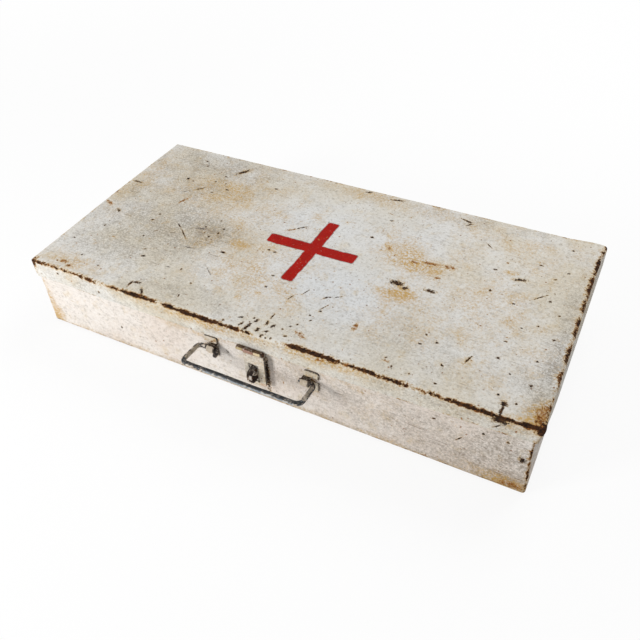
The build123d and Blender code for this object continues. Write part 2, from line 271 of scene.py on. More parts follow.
class Graph:
    """A node tree with short ways of adding the nodes that the finishes use."""

    def __init__(self, tree: Tree) -> None:
        """Keeps the tree that nodes are added to."""
        self.tree = tree

    def add(self, kind: str, inputs: dict | None = None, **settings: object) -> bpy.types.Node:
        """Adds a node.

        Args:
            kind: the node's type, without its ShaderNode prefix.
            inputs: sockets to link, or values to set, by input name or number.
            settings: the node's own properties.

        Returns:
            The node.
        """
        node = self.tree.nodes.new("ShaderNode" + kind)
        for name, value in settings.items():
            setattr(node, name, value)
        for name, value in (inputs or {}).items():
            self.put(value, node.inputs[name])
        return node

    def put(self, value: object, socket: Socket) -> None:
        """Links a socket to an input, or sets the input's value.

        Args:
            value: a socket, or a value of the input's own kind.
            socket: the input.
        """
        if isinstance(value, Socket):
            self.tree.links.new(value, socket)
        else:
            socket.default_value = value

    def calc(self, operation: str, *values: Value) -> Socket:
        """The result of a Math node."""
        return self.add("Math", dict(enumerate(values)), operation=operation).outputs[0]

    def times(self, *values: Value) -> Socket:
        """The values multiplied together."""
        return reduce(partial(self.calc, "MULTIPLY"), values)

    def plus(self, *values: Value) -> Socket:
        """The values added up."""
        return reduce(partial(self.calc, "ADD"), values)

    def largest(self, *values: Value) -> Socket:
        """The largest of the values."""
        return reduce(partial(self.calc, "MAXIMUM"), values)

    def scaled(self, value: Value, factor: Value, added: Value) -> Socket:
        """value times factor, plus added."""
        return self.calc("MULTIPLY_ADD", value, factor, added)

    def vector(self, operation: str, first: object, second: object = (0, 0, 0)) -> Socket:
        """The result of a Vector Math node."""
        node = self.add("VectorMath", {0: first, 1: second}, operation=operation)
        return node.outputs["Value" if operation == "LENGTH" else "Vector"]

    def ramp(self, value: Value, low: Value, high: Value, start: float = 0.0, end: float = 1.0) -> Socket:
        """value taken smoothly from start at low to end at high, and held outside them."""
        inputs = {"Value": value, "From Min": low, "From Max": high, "To Min": start, "To Max": end}
        return self.add("MapRange", inputs, interpolation_type="SMOOTHSTEP").outputs["Result"]

    def blend(self, share: Value, under: object, over: object) -> Socket:
        """under painted over by over, as far as share says."""
        inputs = {0: share, 6: under, 7: over}
        return self.add("Mix", inputs, data_type="RGBA", blend_type="MIX", clamp_factor=True).outputs[2]

    def layers(self, colour: object, *coats: tuple[Value, object]) -> Socket:
        """The colour painted over by each coat in turn: its share, and its colour."""
        for share, over in coats:
            colour = self.blend(share, colour, over)
        return colour

    def noise(self, place: Socket, size: Value, *look: float) -> Socket:
        """Noise from 0 to 1 whose largest lumps are about size mm wide; look is detail, roughness, twist.

        Args:
            place: where it is read.
            size: how wide its lumps are.
            *look: its detail, roughness and twist, each with a usual value.

        Returns:
            The noise.
        """
        scale = self.calc("DIVIDE", 1.0, size) if isinstance(size, Socket) else 1 / size
        detail, rough, twist = (*look, *(3.0, 0.55, 0.0)[len(look):])
        inputs = {"Vector": place, "Scale": scale, "Detail": detail, "Roughness": rough, "Distortion": twist}
        return self.add("TexNoise", inputs).outputs[0]

    def wobble(self, place: Socket, size: float, reach: float) -> Socket:
        """place shaken by noise of that size, by up to about half of reach each way.

        Args:
            place: where it is read.
            size: how wide the noise's lumps are.
            reach: how far it shakes.

        Returns:
            The shaken place.
        """
        inputs = {"Vector": place, "Scale": 1 / size, "Detail": 4.0, "Roughness": 0.65}
        shake = self.add("TexNoise", inputs).outputs["Color"]
        centred = self.vector("SUBTRACT", shake, (0.5, 0.5, 0.5))
        return self.vector("ADD", place, self.vector("MULTIPLY", centred, (reach * 2,) * 3))

    def group(self, tree: Tree, **inputs: object) -> bpy.types.NodeOutputs:
        """Places a shader node group and gives its outputs.

        Args:
            tree: the group.
            **inputs: what goes into each of its inputs.

        Returns:
            The node's outputs.
        """
        node = self.tree.nodes.new("ShaderNodeGroup")
        node.node_tree = tree
        for name, value in inputs.items():
            self.put(value, node.inputs[name])
        return node.outputs


class Effects:
    """The shader node groups that several finishes share, each built once."""

    def __init__(self) -> None:
        """Builds every group."""
        self.paint_loss, self.rust_colour = self._paint_loss(), self._rust_colour()
        self.fine_scratches, self.wash = self._fine_scratches(), self._wash()
        self.speckle, self.oval_mark = self._speckle(), self._oval_mark()
        self.painted_strip = self._painted_strip()

    @staticmethod
    def _new(name: str, inputs: str) -> tuple[Graph, list[Socket]]:
        """Starts a group.

        Args:
            name: the group's name.
            inputs: the names of its input sockets.

        Returns:
            Its graph, and its input sockets as the group sees them.
        """
        graph = Graph(bpy.data.node_groups.new(name, "ShaderNodeTree"))
        for socket in inputs.split():
            kind = "NodeSocketVector" if socket in VECTORS else "NodeSocketFloat"
            graph.tree.interface.new_socket(socket, in_out="INPUT", socket_type=kind)
        return graph, list(graph.tree.nodes.new("NodeGroupInput").outputs)[:-1]

    @staticmethod
    def _close(graph: Graph, **outputs: Socket) -> Tree:
        """Gives a group its outputs, each of the kind of the socket that feeds it, and ends it.

        Args:
            graph: the group's graph.
            **outputs: the socket that feeds each output.

        Returns:
            The group.
        """
        out = graph.tree.nodes.new("NodeGroupOutput")
        for name, value in outputs.items():
            kind = "NodeSocketColor" if value.type == "RGBA" else "NodeSocketFloat"
            graph.tree.interface.new_socket(name, in_out="OUTPUT", socket_type=kind)
            graph.put(value, out.inputs[name])
        return graph.tree

    def _paint_loss(self) -> Tree:
        """Ragged flakes where the paint is gone: noise above a level that falls as Amount rises.

        Returns:
            The group, which gives Flakes and the wider Halo.
        """
        graph, (place, size, amount) = self._new("paint_loss", "Place Size Amount")
        lumps = graph.noise(place, size, 6.0, 0.68, 0.35)
        level = graph.scaled(amount, -0.42, 0.82)
        flakes, halo = (
            graph.ramp(lumps, graph.plus(level, below), graph.plus(level, above))
            for below, above in ((0.0, 0.018), (-0.075, 0.02))
        )
        return self._close(graph, Flakes=flakes, Halo=halo)

    def _rust_colour(self) -> Tree:
        """Rust from near black to orange by two sizes of noise, lighter as Fresh rises, with its relief.

        Returns:
            The group, which gives Colour and Relief.
        """
        graph, (place, fresh) = self._new("rust_colour", "Place Fresh")
        broad = graph.noise(place, 5.0, 4.0, 0.6)
        grit = graph.noise(place, 0.9, 5.0, 0.7)
        tone = graph.scaled(fresh, 0.35, graph.scaled(grit, 0.55, graph.times(broad, 0.45)))
        colour = graph.layers(
            screen(32, 23, 18),
            (graph.ramp(tone, 0.44, 0.58), screen(72, 45, 27)),
            (graph.ramp(tone, 0.58, 0.72), screen(140, 90, 42)),
            (graph.ramp(tone, 0.72, 0.9), screen(200, 150, 86)),
        )
        return self._close(graph, Colour=colour, Relief=grit)

    def _fine_scratches(self) -> Tree:
        """Hair lines along one direction: noise on a place squeezed along Turn, cut to its peaks.

        Returns:
            The group, which gives Lines.
        """
        graph, (place, turn, amount) = self._new("fine_scratches", "Place Turn Amount")
        angle = graph.add("CombineXYZ", {"Z": turn}).outputs[0]
        inputs = {"Vector": place, "Rotation": angle, "Scale": (0.055, 1.15, 1.15)}
        stretched = graph.add("Mapping", inputs).outputs[0]
        level = graph.scaled(amount, -0.30, 0.74)
        peaks = graph.ramp(graph.noise(stretched, 1.0, 3.0, 0.6), level, graph.plus(level, 0.07))
        broken = graph.ramp(graph.noise(place, 9.0), 0.42, 0.6)
        return self._close(graph, Lines=graph.times(peaks, broken))

    def _wash(self) -> Tree:
        """A cloudy stain: Density raised and lowered by three sizes of noise.

        Returns:
            The group, which gives Cover.
        """
        graph, (place, density) = self._new("wash", "Place Density")
        broad = graph.noise(place, 22.0, 4.0, 0.6, 0.4)
        grain = graph.noise(place, 2.2, 4.0, 0.7)
        mixed = graph.scaled(grain, 0.8, graph.times(broad, 1.1))
        cloud = graph.ramp(graph.plus(density, graph.plus(mixed, -0.95)), 0.05, 0.85)
        gate = graph.ramp(density, 0.02, 0.2)
        sand = graph.ramp(graph.noise(place, 1.9, 5.0, 0.8), 0.43, 0.57, 0.15, 1.35)
        return self._close(graph, Cover=graph.times(cloud, gate, sand))

    def _speckle(self) -> Tree:
        """Pin holes: one dot in each random cell, smaller or missing by the cell's own random number.

        Returns:
            The group, which gives Dots.
        """
        graph, (place, spacing, amount) = self._new("speckle", "Place Spacing Amount")
        cells = graph.add("TexVoronoi", {"Vector": place, "Scale": graph.calc("DIVIDE", 1.0, spacing)})
        luck = graph.add("SeparateColor", {"Color": cells.outputs["Color"]}).outputs[0]
        size = graph.ramp(luck, graph.calc("SUBTRACT", 1.0, amount), 1.0, 0.0, 0.20)
        dots = graph.ramp(cells.outputs["Distance"], size, graph.times(size, 0.62))
        return self._close(graph, Dots=graph.times(dots, graph.ramp(size, 0.02, 0.05)))

    def _oval_mark(self) -> Tree:
        """A mark's mask: the distance from its middle in half sizes, made ragged by noise, under 1.

        Rim is the same with a wider reach, for the stain round it.

        Returns:
            The group, which gives Mask and Rim.
        """
        graph, (place, local) = self._new("oval_mark", "Place Local")
        coarse = graph.scaled(graph.noise(place, 1.7, 4.0, 0.75), 4.2, -2.1)
        ragged = graph.scaled(graph.noise(place, 0.6, 3.0, 0.7), 2.4, -1.2)
        distance = graph.plus(graph.vector("LENGTH", local), graph.plus(coarse, ragged))
        return self._close(graph, Mask=graph.ramp(distance, 1.12, 0.86), Rim=graph.ramp(distance, 1.9, 1.05))

    def _painted_strip(self) -> Tree:
        """1 inside a box whose corners are rounded by Round: the distance past it, from 0 to 0.3 mm.

        Returns:
            The group, which gives Mask.
        """
        names = "Place Middle Half_Size Turn Round"
        graph, (place, middle, half_size, turn, rounding) = self._new("painted_strip", names)
        angle = graph.add("CombineXYZ", {"Z": turn}).outputs[0]
        inputs = {"Vector": place, "Location": middle, "Rotation": angle}
        local = graph.add("Mapping", inputs, vector_type="TEXTURE").outputs[0]
        past = graph.vector("SUBTRACT", graph.vector("ABSOLUTE", local), half_size)
        grown = graph.add("CombineXYZ", {axis: rounding for axis in "XYZ"}).outputs[0]
        past = graph.vector("MAXIMUM", graph.vector("ADD", past, grown))
        distance = graph.calc("SUBTRACT", graph.vector("LENGTH", past), rounding)
        return self._close(graph, Mask=graph.ramp(distance, 0.3, 0.0))


@dataclass(frozen=True)
class Dab:
    """A box-shaped region of another colour on a small piece, from low to high in millimetres."""

    low: Place
    high: Place
    colour: Colour
    strength: float = 1.0

    def box(self) -> dict[str, Place]:
        """The region's middle and half size, as the painted_strip group takes them."""
        low, high = np.array(self.low), np.array(self.high)
        return {"Middle": tuple((low + high) / 2), "Half_Size": tuple((high - low) / 2)}


class Surface:
    """A material under way: its graph and shader, and the place in millimetres that its noises read."""

    def __init__(self, name: str, effects: Effects) -> None:
        """Makes the material.

        Args:
            name: its name.
            effects: the shared node groups.
        """
        self.effects = effects
        self.made = bpy.data.materials.new(name)
        self.made.use_nodes = True
        self.graph = Graph(self.made.node_tree)
        self.place = self.graph.vector("SCALE", self.graph.add("TexCoord").outputs["Object"])
        self.place.node.inputs["Scale"].default_value = 1 / MM

    def paint(self, dabs: Iterable[Dab], colour: Socket) -> Socket:
        """Paints regions over a colour, with shaken outlines and small gaps.

        Args:
            dabs: the regions, in the order in which they are painted.
            colour: the colour below.

        Returns:
            The new colour.
        """
        graph = self.graph
        shaken = graph.wobble(self.place, 1.6, 0.7)
        patchy = graph.ramp(graph.noise(self.place, 1.5, 4.0, 0.7), 0.36, 0.48, 0.3)
        for dab in dabs:
            mask = graph.group(self.effects.painted_strip, Place=shaken, **dab.box())["Mask"]
            colour = graph.blend(graph.times(mask, dab.strength, patchy), colour, dab.colour)
        return colour

    def close(self, gloss: float, depth: float, strength: float, height: Socket, **looks: Socket) -> Material:
        """Links the shader.

        Args:
            gloss: its constant specular level.
            depth: the relief's depth in millimetres.
            strength: the relief's strength.
            height: the relief's height, from 0 to 1.
            looks: its other inputs by name, with _ for a space.

        Returns:
            The finished material.
        """
        shader = self.made.node_tree.nodes["Principled BSDF"]
        shader.inputs["Specular IOR Level"].default_value = gloss
        for name, value in looks.items():
            self.graph.put(value, shader.inputs[name.replace("_", " ")])
        bump = self.graph.add("Bump", {"Height": height, "Strength": strength, "Distance": depth * MM})
        self.graph.put(bump.outputs[0], shader.inputs["Normal"])
        return self.made


class Ground(Surface):
    """A surface of worn paint, with the four sizes of noise that its layers share."""

    def __init__(self, name: str, effects: Effects) -> None:
        """Makes the material and its noises.

        Args:
            name: its name.
            effects: the shared node groups.
        """
        super().__init__(name, effects)
        squeezed = self.graph.vector("MULTIPLY", self.place, (0.75, 1.0, 1.0))
        self.broad = self.graph.noise(self.place, 60.0, 4.0)
        self.sandy = self.graph.noise(self.place, 11.0, 6.0, 0.72, 0.3)
        self.mottle = self.graph.noise(self.place, 3.0, 6.0, 0.75)
        self.grain = self.graph.noise(squeezed, 1.1, 4.0, 0.8)


@dataclass(frozen=True)
class WornPaint:
    """Old brushed paint on sheet steel, with stain, grime, pin holes, flakes, marks and edge rust.

    Its amounts run from 0 to 1. Where channels is true, the mesh carries edge, stain, dirt and
    cool at its vertices, and otherwise the amounts of that name hold all over. dirt is grime, and
    on the shells' right walls it also carries a painted shade that darkens them.
    """

    name: str
    paint: Colour = screen(221, 219, 214)
    warm: Colour = screen(214, 207, 192)
    chalk: Colour = screen(216, 218, 219)
    pale: Colour = screen(236, 236, 233)
    tan: Colour = screen(204, 184, 146)
    ochre: Colour = screen(188, 152, 88)
    grime: Colour = screen(118, 108, 92)
    hair_line: Colour = screen(112, 96, 82)
    red: Colour = screen(164, 20, 6)
    deep_red: Colour = screen(150, 15, 5)
    outline: Colour = screen(84, 44, 38)
    scrape: Colour = screen(96, 88, 82)
    rust_brown: Colour = screen(150, 100, 46)
    steel_dark: Colour = screen(36, 28, 24)
    steel_brown: Colour = screen(82, 56, 34)
    roughness: float = 0.52
    gloss: float = 0.08
    flake_size: float = 7.0
    flake_amount: float = 0.30
    speckle_amount: float = 0.36
    scratch_amount: float = 0.28
    channels: bool = True
    edge: float = 0.0
    stain: float = 0.25
    dirt: float = 0.25
    cool: float = 0.0
    outside: float = 1.0
    marked: bool = False
    cross: tuple[Mark, ...] = ()
    cross_height: float = 75.0
    cross_round: float = 2.0
    cross_depth: float = 8.0
    ring_width: float = 0.6
    dabs: tuple[Dab, ...] = ()

    def channel(self, graph: Graph, name: str) -> Value:
        """The mesh's own values of that name, or this finish's own amount, which holds all over."""
        if not self.channels:
            return getattr(self, name)
        return graph.add("Attribute", attribute_name=name).outputs["Fac"]

    def coat(self, ground: Ground) -> Socket:
        """The paint's own colour: cloudy, mottled, brushed, stained, dust-covered and finely scratched, and
        darkened by painted shade on the shells' right walls.

        Args:
            ground: what the layers read.

        Returns:
            The colour, before the cross, the holes and the rust.
        """
        graph, effects, place, mottle = ground.graph, ground.effects, ground.place, ground.mottle
        dirt = self.channel(graph, "dirt")
        ramp, times = graph.ramp, graph.times
        # grit_and_shade and dust_and_shade read dirt, so besides grime they lay its painted shade on the
        # shells' right walls in the grime colour.
        grit_and_shade = times(ramp(ground.grain, 0.50, 0.66), ramp(dirt, 0.05, 0.6, 0.18, 0.62))
        stained = graph.group(effects.wash, Place=place, Density=self.channel(graph, "stain"))[0]
        elsewhere = graph.vector("ADD", place, (83, 41, 19))
        dust_and_shade = graph.group(effects.wash, Place=elsewhere, Density=dirt)[0]
        dirt_scratches = graph.scaled(dirt, 0.55, self.scratch_amount)
        brushed, lines, crossing = (
            graph.group(effects.fine_scratches, Place=place, Turn=radians(turn), Amount=amount)[0]
            for turn, amount in ((0, 0.75), (4, dirt_scratches), (72, 0.28))
        )
        return graph.layers(
            self.paint,
            (ramp(ground.broad, 0.36, 0.62), self.warm),
            (self.channel(graph, "cool"), self.chalk),
            (ramp(ground.sandy, 0.52, 0.70, 0.0, 0.42), self.tan),
            (ramp(mottle, 0.50, 0.68, 0.0, 0.42), self.grime),
            (ramp(mottle, 0.48, 0.32, 0.0, 0.4), self.pale),
            (grit_and_shade, self.grime),
            (times(brushed, 0.14), self.grime),
            (times(stained, 0.8), self.ochre),
            (times(dust_and_shade, 0.42), self.grime),
            (times(graph.largest(lines, crossing), 0.5), self.hair_line),
        )

    def strips(self, surface: Surface, place: Socket, wider: float) -> Socket:
        """The mask of the cross's strips of paint.

        Args:
            surface: the material under way.
            place: the place that the strips' outlines are measured in.
            wider: how far each side is moved out, in millimetres.

        Returns:
            1 inside any of the strips.
        """
        return surface.graph.largest(*(
            surface.graph.group(
                surface.effects.painted_strip,
                Place=place,
                Middle=(strip.across, strip.up, self.cross_height),
                Turn=radians(strip.turn),
                Half_Size=(strip.length / 2 + wider, strip.width / 2 + wider, self.cross_depth),
                Round=self.cross_round,
            )["Mask"]
            for strip in self.cross
        ))

    def painted_cross(self, ground: Ground, colour: Socket) -> Socket:
        """Paints the cross and the thin dark line of grime round it.

        Args:
            ground: what the layers read.
            colour: the paint below.

        Returns:
            The new colour.
        """
        graph, sandy = ground.graph, ground.sandy
        steady = graph.wobble(ground.place, 9.0, 1.1)
        inner, outer = (self.strips(ground, steady, wider) for wider in (0.0, self.ring_width))
        outside = self.channel(graph, "outside")
        rim = graph.calc("SUBTRACT", outer, inner)
        ring = graph.times(rim, outside, graph.ramp(sandy, 0.40, 0.58, 0.2, 0.8))
        kept = graph.times(graph.ramp(ground.mottle, 0.70, 0.62), outside)
        red = graph.blend(graph.ramp(sandy, 0.35, 0.65), self.red, self.deep_red)
        return graph.layers(colour, (ring, self.outline), (graph.times(inner, kept), red))

    def holes(self, ground: Ground) -> Socket:
        """The mask of the pin holes: larger dots with shaken outlines, and finer, denser ones.

        Args:
            ground: the surface and its broad noises.

        Returns:
            The mask.
        """
        graph, dirt = ground.graph, self.channel(ground.graph, "dirt")
        speckled = graph.ramp(ground.broad, 0.3, 0.62, 0.4, 1.3)
        shaken = graph.wobble(ground.place, 2.0, 0.6)
        few = graph.times(graph.scaled(dirt, 0.16, self.speckle_amount), speckled)
        many = graph.times(graph.scaled(dirt, 0.60, self.speckle_amount + 0.14), speckled)
        dots = graph.group(ground.effects.speckle, Place=shaken, Spacing=4.6, Amount=few)[0]
        pins = graph.group(ground.effects.speckle, Place=ground.place, Spacing=2.7, Amount=many)[0]
        return graph.largest(dots, graph.times(pins, 0.9))

    def marks(self, surface: Surface) -> dict[Wear, dict]:
        """The masks and rims of the marks of each kind, or 0 where the mesh carries none.

        Args:
            surface: the material under way.

        Returns:
            For each kind of wear, its Mask and its Rim.
        """
        if not self.marked:
            return {wear: {"Mask": 0.0, "Rim": 0.0} for wear in Wear}
        graph, tree = surface.graph, surface.effects.oval_mark
        local = {wear: graph.add("Attribute", attribute_name=wear.channel).outputs["Vector"] for wear in Wear}
        return {wear: graph.group(tree, Place=surface.place, Local=local[wear]) for wear in Wear}

    def material(self, effects: Effects) -> Material:
        """Builds the material.

        Rust stands where edge is high and three noises add up past a level, where a flake is gone, in
        the pin holes and in the marks. A soft ochre halo surrounds it.

        Args:
            effects: the shared node groups.

        Returns:
            A material that reads Object coordinates and, with channels, the mesh's own values.
        """
        ground = Ground(self.name, effects)
        graph, place, mottle, sandy = ground.graph, ground.place, ground.mottle, ground.sandy
        edge = self.channel(graph, "edge")
        ramp, times, scaled = graph.ramp, graph.times, graph.scaled
        colour = self.coat(ground)
        if self.cross:
            colour = self.painted_cross(ground, colour)

        loss = scaled(edge, 0.35, self.flake_amount)
        flakes = graph.group(effects.paint_loss, Place=place, Size=self.flake_size, Amount=loss)
        coarse = scaled(sandy, 1.7, -0.85)
        fine = scaled(mottle, 2.0, scaled(ground.grain, 1.3, -1.65))
        level = graph.plus(edge, graph.plus(coarse, fine))
        crust = times(ramp(level, 0.66, 0.76), ramp(edge, 0.12, 0.34))
        glow = times(ramp(level, 0.30, 0.80), ramp(edge, 0.02, 0.2))
        fresh = ramp(level, 1.05, 0.66, 0.0, 0.55)
        rust = graph.group(effects.rust_colour, Place=place, Fresh=fresh)

        marks = self.marks(ground)
        patchy = times(ramp(mottle, 0.40, 0.58, 0.25), ramp(ground.grain, 0.36, 0.58, 0.3))
        halo = graph.largest(
            times(flakes["Halo"], 0.6),
            times(glow, 0.9),
            times(graph.largest(marks[Wear.STAIN]["Rim"], marks[Wear.RUST]["Rim"]), patchy),
            times(marks[Wear.BARE]["Rim"], ramp(sandy, 0.42, 0.60, 0.12, 0.7)),
        )
        browned, bitten = (
            times(marks[Wear.RUST]["Mask"], cover)
            for cover in (ramp(mottle, 0.40, 0.54, 0.2), ramp(mottle, 0.50, 0.55))
        )
        rusted = graph.largest(flakes["Flakes"], crust, times(self.holes(ground), 0.85), bitten)
        steel = graph.blend(ramp(mottle, 0.44, 0.60), self.steel_dark, self.steel_brown)
        colour = graph.layers(
            colour,
            (halo, self.ochre),
            (times(marks[Wear.SCRATCH]["Mask"], 0.75), self.scrape),
            (browned, self.rust_brown),
            (rusted, rust["Colour"]),
            (marks[Wear.BARE]["Mask"], steel),
        )
        if self.dabs:
            colour = ground.paint(self.dabs, colour)

        gone = graph.largest(rusted, marks[Wear.BARE]["Mask"])
        paint_rough = ramp(mottle, 0.3, 0.7, self.roughness - 0.06, self.roughness + 0.12)
        peel = times(graph.noise(place, 1.5), 0.10)
        ripple = scaled(graph.noise(place, 9.0, 2.0), 0.35, peel)
        pitted = scaled(rust["Relief"], 0.5, -0.75)
        height = graph.plus(ripple, times(gone, pitted))
        rough = scaled(gone, 0.34, paint_rough)
        return ground.close(self.gloss, 0.45, 0.6, height, Base_Color=colour, Roughness=rough)


@dataclass(frozen=True)
class RustySteel:
    """Bare old steel that is part rust and part dark metal, with what is left of its paint."""

    name: str
    metal: Colour = screen(74, 72, 70)
    dull_metal: Colour = screen(40, 38, 37)
    paint: Colour = screen(205, 196, 182)
    paint_stain: Colour = screen(160, 118, 78)
    paint_left: float = 0.3
    rust_share: float = 0.5
    roughness: float = 0.5
    gloss: float = 0.3
    metallic: float = 0.6
    dabs: tuple[Dab, ...] = ()

    def material(self, effects: Effects) -> Material:
        """Builds the material.

        Args:
            effects: the shared node groups.

        Returns:
            A material that reads Object coordinates.
        """
        surface = Surface(self.name, effects)
        graph, place = surface.graph, surface.place
        rust = graph.group(effects.rust_colour, Place=place)
        tone = graph.ramp(graph.noise(place, 1.1, 4.0, 0.6), 0.3, 0.7)
        level = 0.74 - 0.5 * self.rust_share
        rusted = graph.ramp(graph.noise(place, 3.2, 5.0, 0.7), level, level + 0.1)
        elsewhere = graph.vector("ADD", place, (31, 7, 53))
        loss = graph.group(effects.paint_loss, Place=elsewhere, Size=4.5, Amount=0.9 - 0.75 * self.paint_left)
        painted = graph.calc("SUBTRACT", 1.0, loss["Flakes"])
        stained = graph.blend(graph.times(loss["Halo"], 0.6), self.paint, self.paint_stain)
        coats = ((tone, self.dull_metal), (rusted, rust["Colour"]), (painted, stained))
        colour = graph.layers(self.metal, *coats)
        if self.dabs:
            colour = surface.paint(self.dabs, colour)
        bare = graph.calc("SUBTRACT", 1.0, graph.largest(rusted, painted))
        looks = {"Base_Color": colour, "Metallic": graph.times(bare, self.metallic)}
        rough = graph.scaled(rusted, 0.3, graph.ramp(tone, 0.0, 1.0, self.roughness, self.roughness + 0.12))
        height = graph.scaled(painted, 0.5, graph.times(rusted, rust["Relief"], 0.6))
        return surface.close(self.gloss, 0.3, 0.7, height, Roughness=rough, **looks)


@dataclass(frozen=True)
class Warp:
    """How the old sheet has moved from its true shape. Both shells share it, so that the lid still sits.

    The front-left corner has sunk, the lid's front edge has bowed out, its front-right corner is pushed
    in, the right wall's upper part and its front fold lean in, and the back-right corner bulges.
    """

    sink: float = 3.0
    sink_reach: float = 70.0
    bow: float = 2.0
    bow_start: float = -205.0
    bow_end: float = 60.0
    push_in: float = 1.4
    push_reach: float = 30.0
    side_lean: float = 2.3
    corner_lean: float = 2.4
    back_bulge: float = 2.2
    box_height: float = 75.0
    box_end: float = 225.0

    def corner_sink(self, place: Array, box: "Shell") -> Array:
        """How far each point has sunk: most at the front-left corner's top, none at the floor.

        Args:
            place: the points' x, y and z, in rows.
            box: the shell they are on.

        Returns:
            How far, in millimetres.
        """
        x, y, z = place
        away = np.hypot(x + box.half_length, 0.8 * (y + box.half_depth))
        share = np.clip(z / self.box_height, 0, 1) ** 1.5
        return self.sink * np.exp(-((away / self.sink_reach) ** 1.5)) * share

    def side_in(self, place: Array) -> Array:
        """How far the right wall leans in: its upper part, but for the corners, and the front fold's middle.

        Args:
            place: the points' true x, y and z, a row each.

        Returns:
            The move towards -x of each point, in millimetres.
        """
        x, y, z = place
        along = 0.62 + 0.38 * bell(y - 50, 55)
        along *= smooth_step(y, -110, -97) * (1 - 0.75 * smooth_step(y, 92, 110))
        upper = self.side_lean * along * np.clip((z - 56) / 18, 0, 1) * smooth_step(x, 185, 221)
        fold = bell(y + 111, 26) * smooth_step(z, 0, 52) * smooth_step(z, 74, 58)
        return upper + self.corner_lean * fold * smooth_step(x, 195, 221)

    def front_bow(self, x: Array) -> Array:
        """How far the lid's front top edge stands out at each x: a long bow, one lump, a corner pushed in.

        Args:
            x: places along the edge.

        Returns:
            How far, in millimetres.
        """
        rise = smooth_step(x, self.bow_start, self.bow_start + 60)
        fall = smooth_step(x, self.bow_end, self.bow_end - 70)
        inward = self.push_in * smooth_step(x, self.box_end - self.push_reach, self.box_end + 1)
        return self.bow * rise * fall + 0.7 * bell(x + 45, 22) - inward


@dataclass(frozen=True)
class Shell:
    """A shallow box of folded sheet, open on one side, as one closed skin of quads.

    The skin is a flat grid (the closed side), a profile carried round the box's outline (down the
    outside, round the open edge and back along the inside), and a second grid (the inner side). A point
    of the plain box is clamped to the box shrunk by the bend radius, and moved from there by the radius,
    less its depth in the sheet, along the line back to itself, which rounds every edge and corner alike.
    """

    half_length: float
    half_depth: float
    closed_z: float
    height: float
    sheet: float
    radius: float
    step_length: float
    step_depth: float
    step_height: float
    opens_down: bool
    hem: float = 0.0
    fine_front: int = 0
    fine_step: float = 0.9

    def lines(self, half: float, step: float, fine: int = 0) -> Array:
        """Grid lines over one side: even steps on the flat, and even angles within the bends.

        Args:
            half: half the side's size.
            step: the even step.
            fine: how many finer steps come first.

        Returns:
            The lines' places, from -half to half.
        """
        bend = self.radius * (1 - np.tan(np.radians([45, 30, 15])))
        flat_start, flat_end = -half + self.radius, half - self.radius
        front = flat_start + self.fine_step * np.arange(fine)
        start = front[-1] + self.fine_step if fine else flat_start
        flat = np.linspace(start, flat_end, max(round((flat_end - start) / step), 2))
        return np.concatenate([-half + bend, front, flat, half - bend[::-1]])

    def profile(self) -> tuple[Array, Array]:
        """The section carried round the outline: a wall, a round lip, and the way back along the inside.

        Returns:
            Each point's depth from the closed face, and its depth in the sheet.
        """
        bend = self.radius * (1 - np.tan(np.radians([30, 15, 0])))
        rows = round((self.height - self.radius) / self.step_height)
        half_lip = self.sheet * (2 if self.hem else 1) / 2
        lip_start = self.height - half_lip
        wall = np.linspace(self.radius, self.height - self.sheet / 2, rows)[1:]
        wall = wall[wall < lip_start - 0.2]
        angles = np.radians(np.arange(22.5, 180, 22.5))
        lip, lip_in = lip_start + half_lip * np.sin(angles), half_lip * (1 - np.cos(angles))
        back = np.linspace(lip_start, self.radius, max(rows * 2 // 3, 8))
        inward = np.full(len(back), self.sheet)
        if self.hem:
            hem_end = self.height - self.hem
            back = np.unique(np.concatenate([back, hem_end + np.array([0.9, 0.3, 0, -0.05])]))[::-1]
            inward = np.where(back >= hem_end, 2 * self.sheet, self.sheet)
            inward = np.where(np.isclose(back, hem_end), 1.75 * self.sheet, inward)
        depths = np.concatenate([bend, wall, lip, back, bend[-2::-1]])
        insides = np.concatenate([np.zeros(len(bend) + len(wall)), lip_in, inward, np.full(2, self.sheet)])
        return depths, insides

    def skin(self) -> "Skin":
        """Works out the skin's points, outward directions and quads.

        Returns:
            The skin, in millimetres, before any warp.
        """
        xs = self.lines(self.half_length, self.step_length)
        ys = self.lines(self.half_depth, self.step_depth, self.fine_front)
        grid_x, grid_y = (values.ravel() for values in np.meshgrid(xs, ys, indexing="ij"))
        first = len(xs) * len(ys)
        number = np.arange(first).reshape(len(xs), len(ys))
        outline = np.concatenate([number[:-1, 0], number[-1, :-1], number[:0:-1, -1], number[0, :0:-1]])
        depths, insides = self.profile()
        rings, count = len(depths), len(outline)
        x, y = (np.concatenate([grid, np.tile(grid[outline], rings), grid]) for grid in (grid_x, grid_y))
        depth = np.concatenate([np.zeros(first), np.repeat(depths, count), np.zeros(first)])
        inside = np.concatenate([np.zeros(first), np.repeat(insides, count), np.full(first, self.sheet)])
        core_x = np.clip(x, self.radius - self.half_length, self.half_length - self.radius)
        core_y = np.clip(y, self.radius - self.half_depth, self.half_depth - self.radius)
        core_depth = np.maximum(depth, self.radius)
        away = unit(np.column_stack([x - core_x, y - core_y, core_depth - depth]))
        points = np.column_stack([core_x, core_y, -core_depth]) + away * (self.radius - inside)[:, None]

        plate = np.stack([number[:-1, :-1], number[1:, :-1], number[1:, 1:], number[:-1, 1:]], -1)
        plate = plate.reshape(-1, 4)
        inner_start = first + rings * count
        loops = [outline, *(first + np.arange(rings * count).reshape(rings, count)), outline + inner_start]
        bands = [
            np.column_stack([upper, lower, np.roll(lower, -1), np.roll(upper, -1)])
            for upper, lower in zip(loops[:-1], loops[1:])
        ]
        faces = np.vstack([plate, *bands, plate[:, ::-1] + inner_start])
        if not self.opens_down:
            points[:, 2] *= -1
            away[:, 2] *= -1
            faces = faces[:, ::-1]
        points[:, 2] += self.closed_z
        return Skin(points, away, faces, inside > 0.9 * self.sheet, depth)


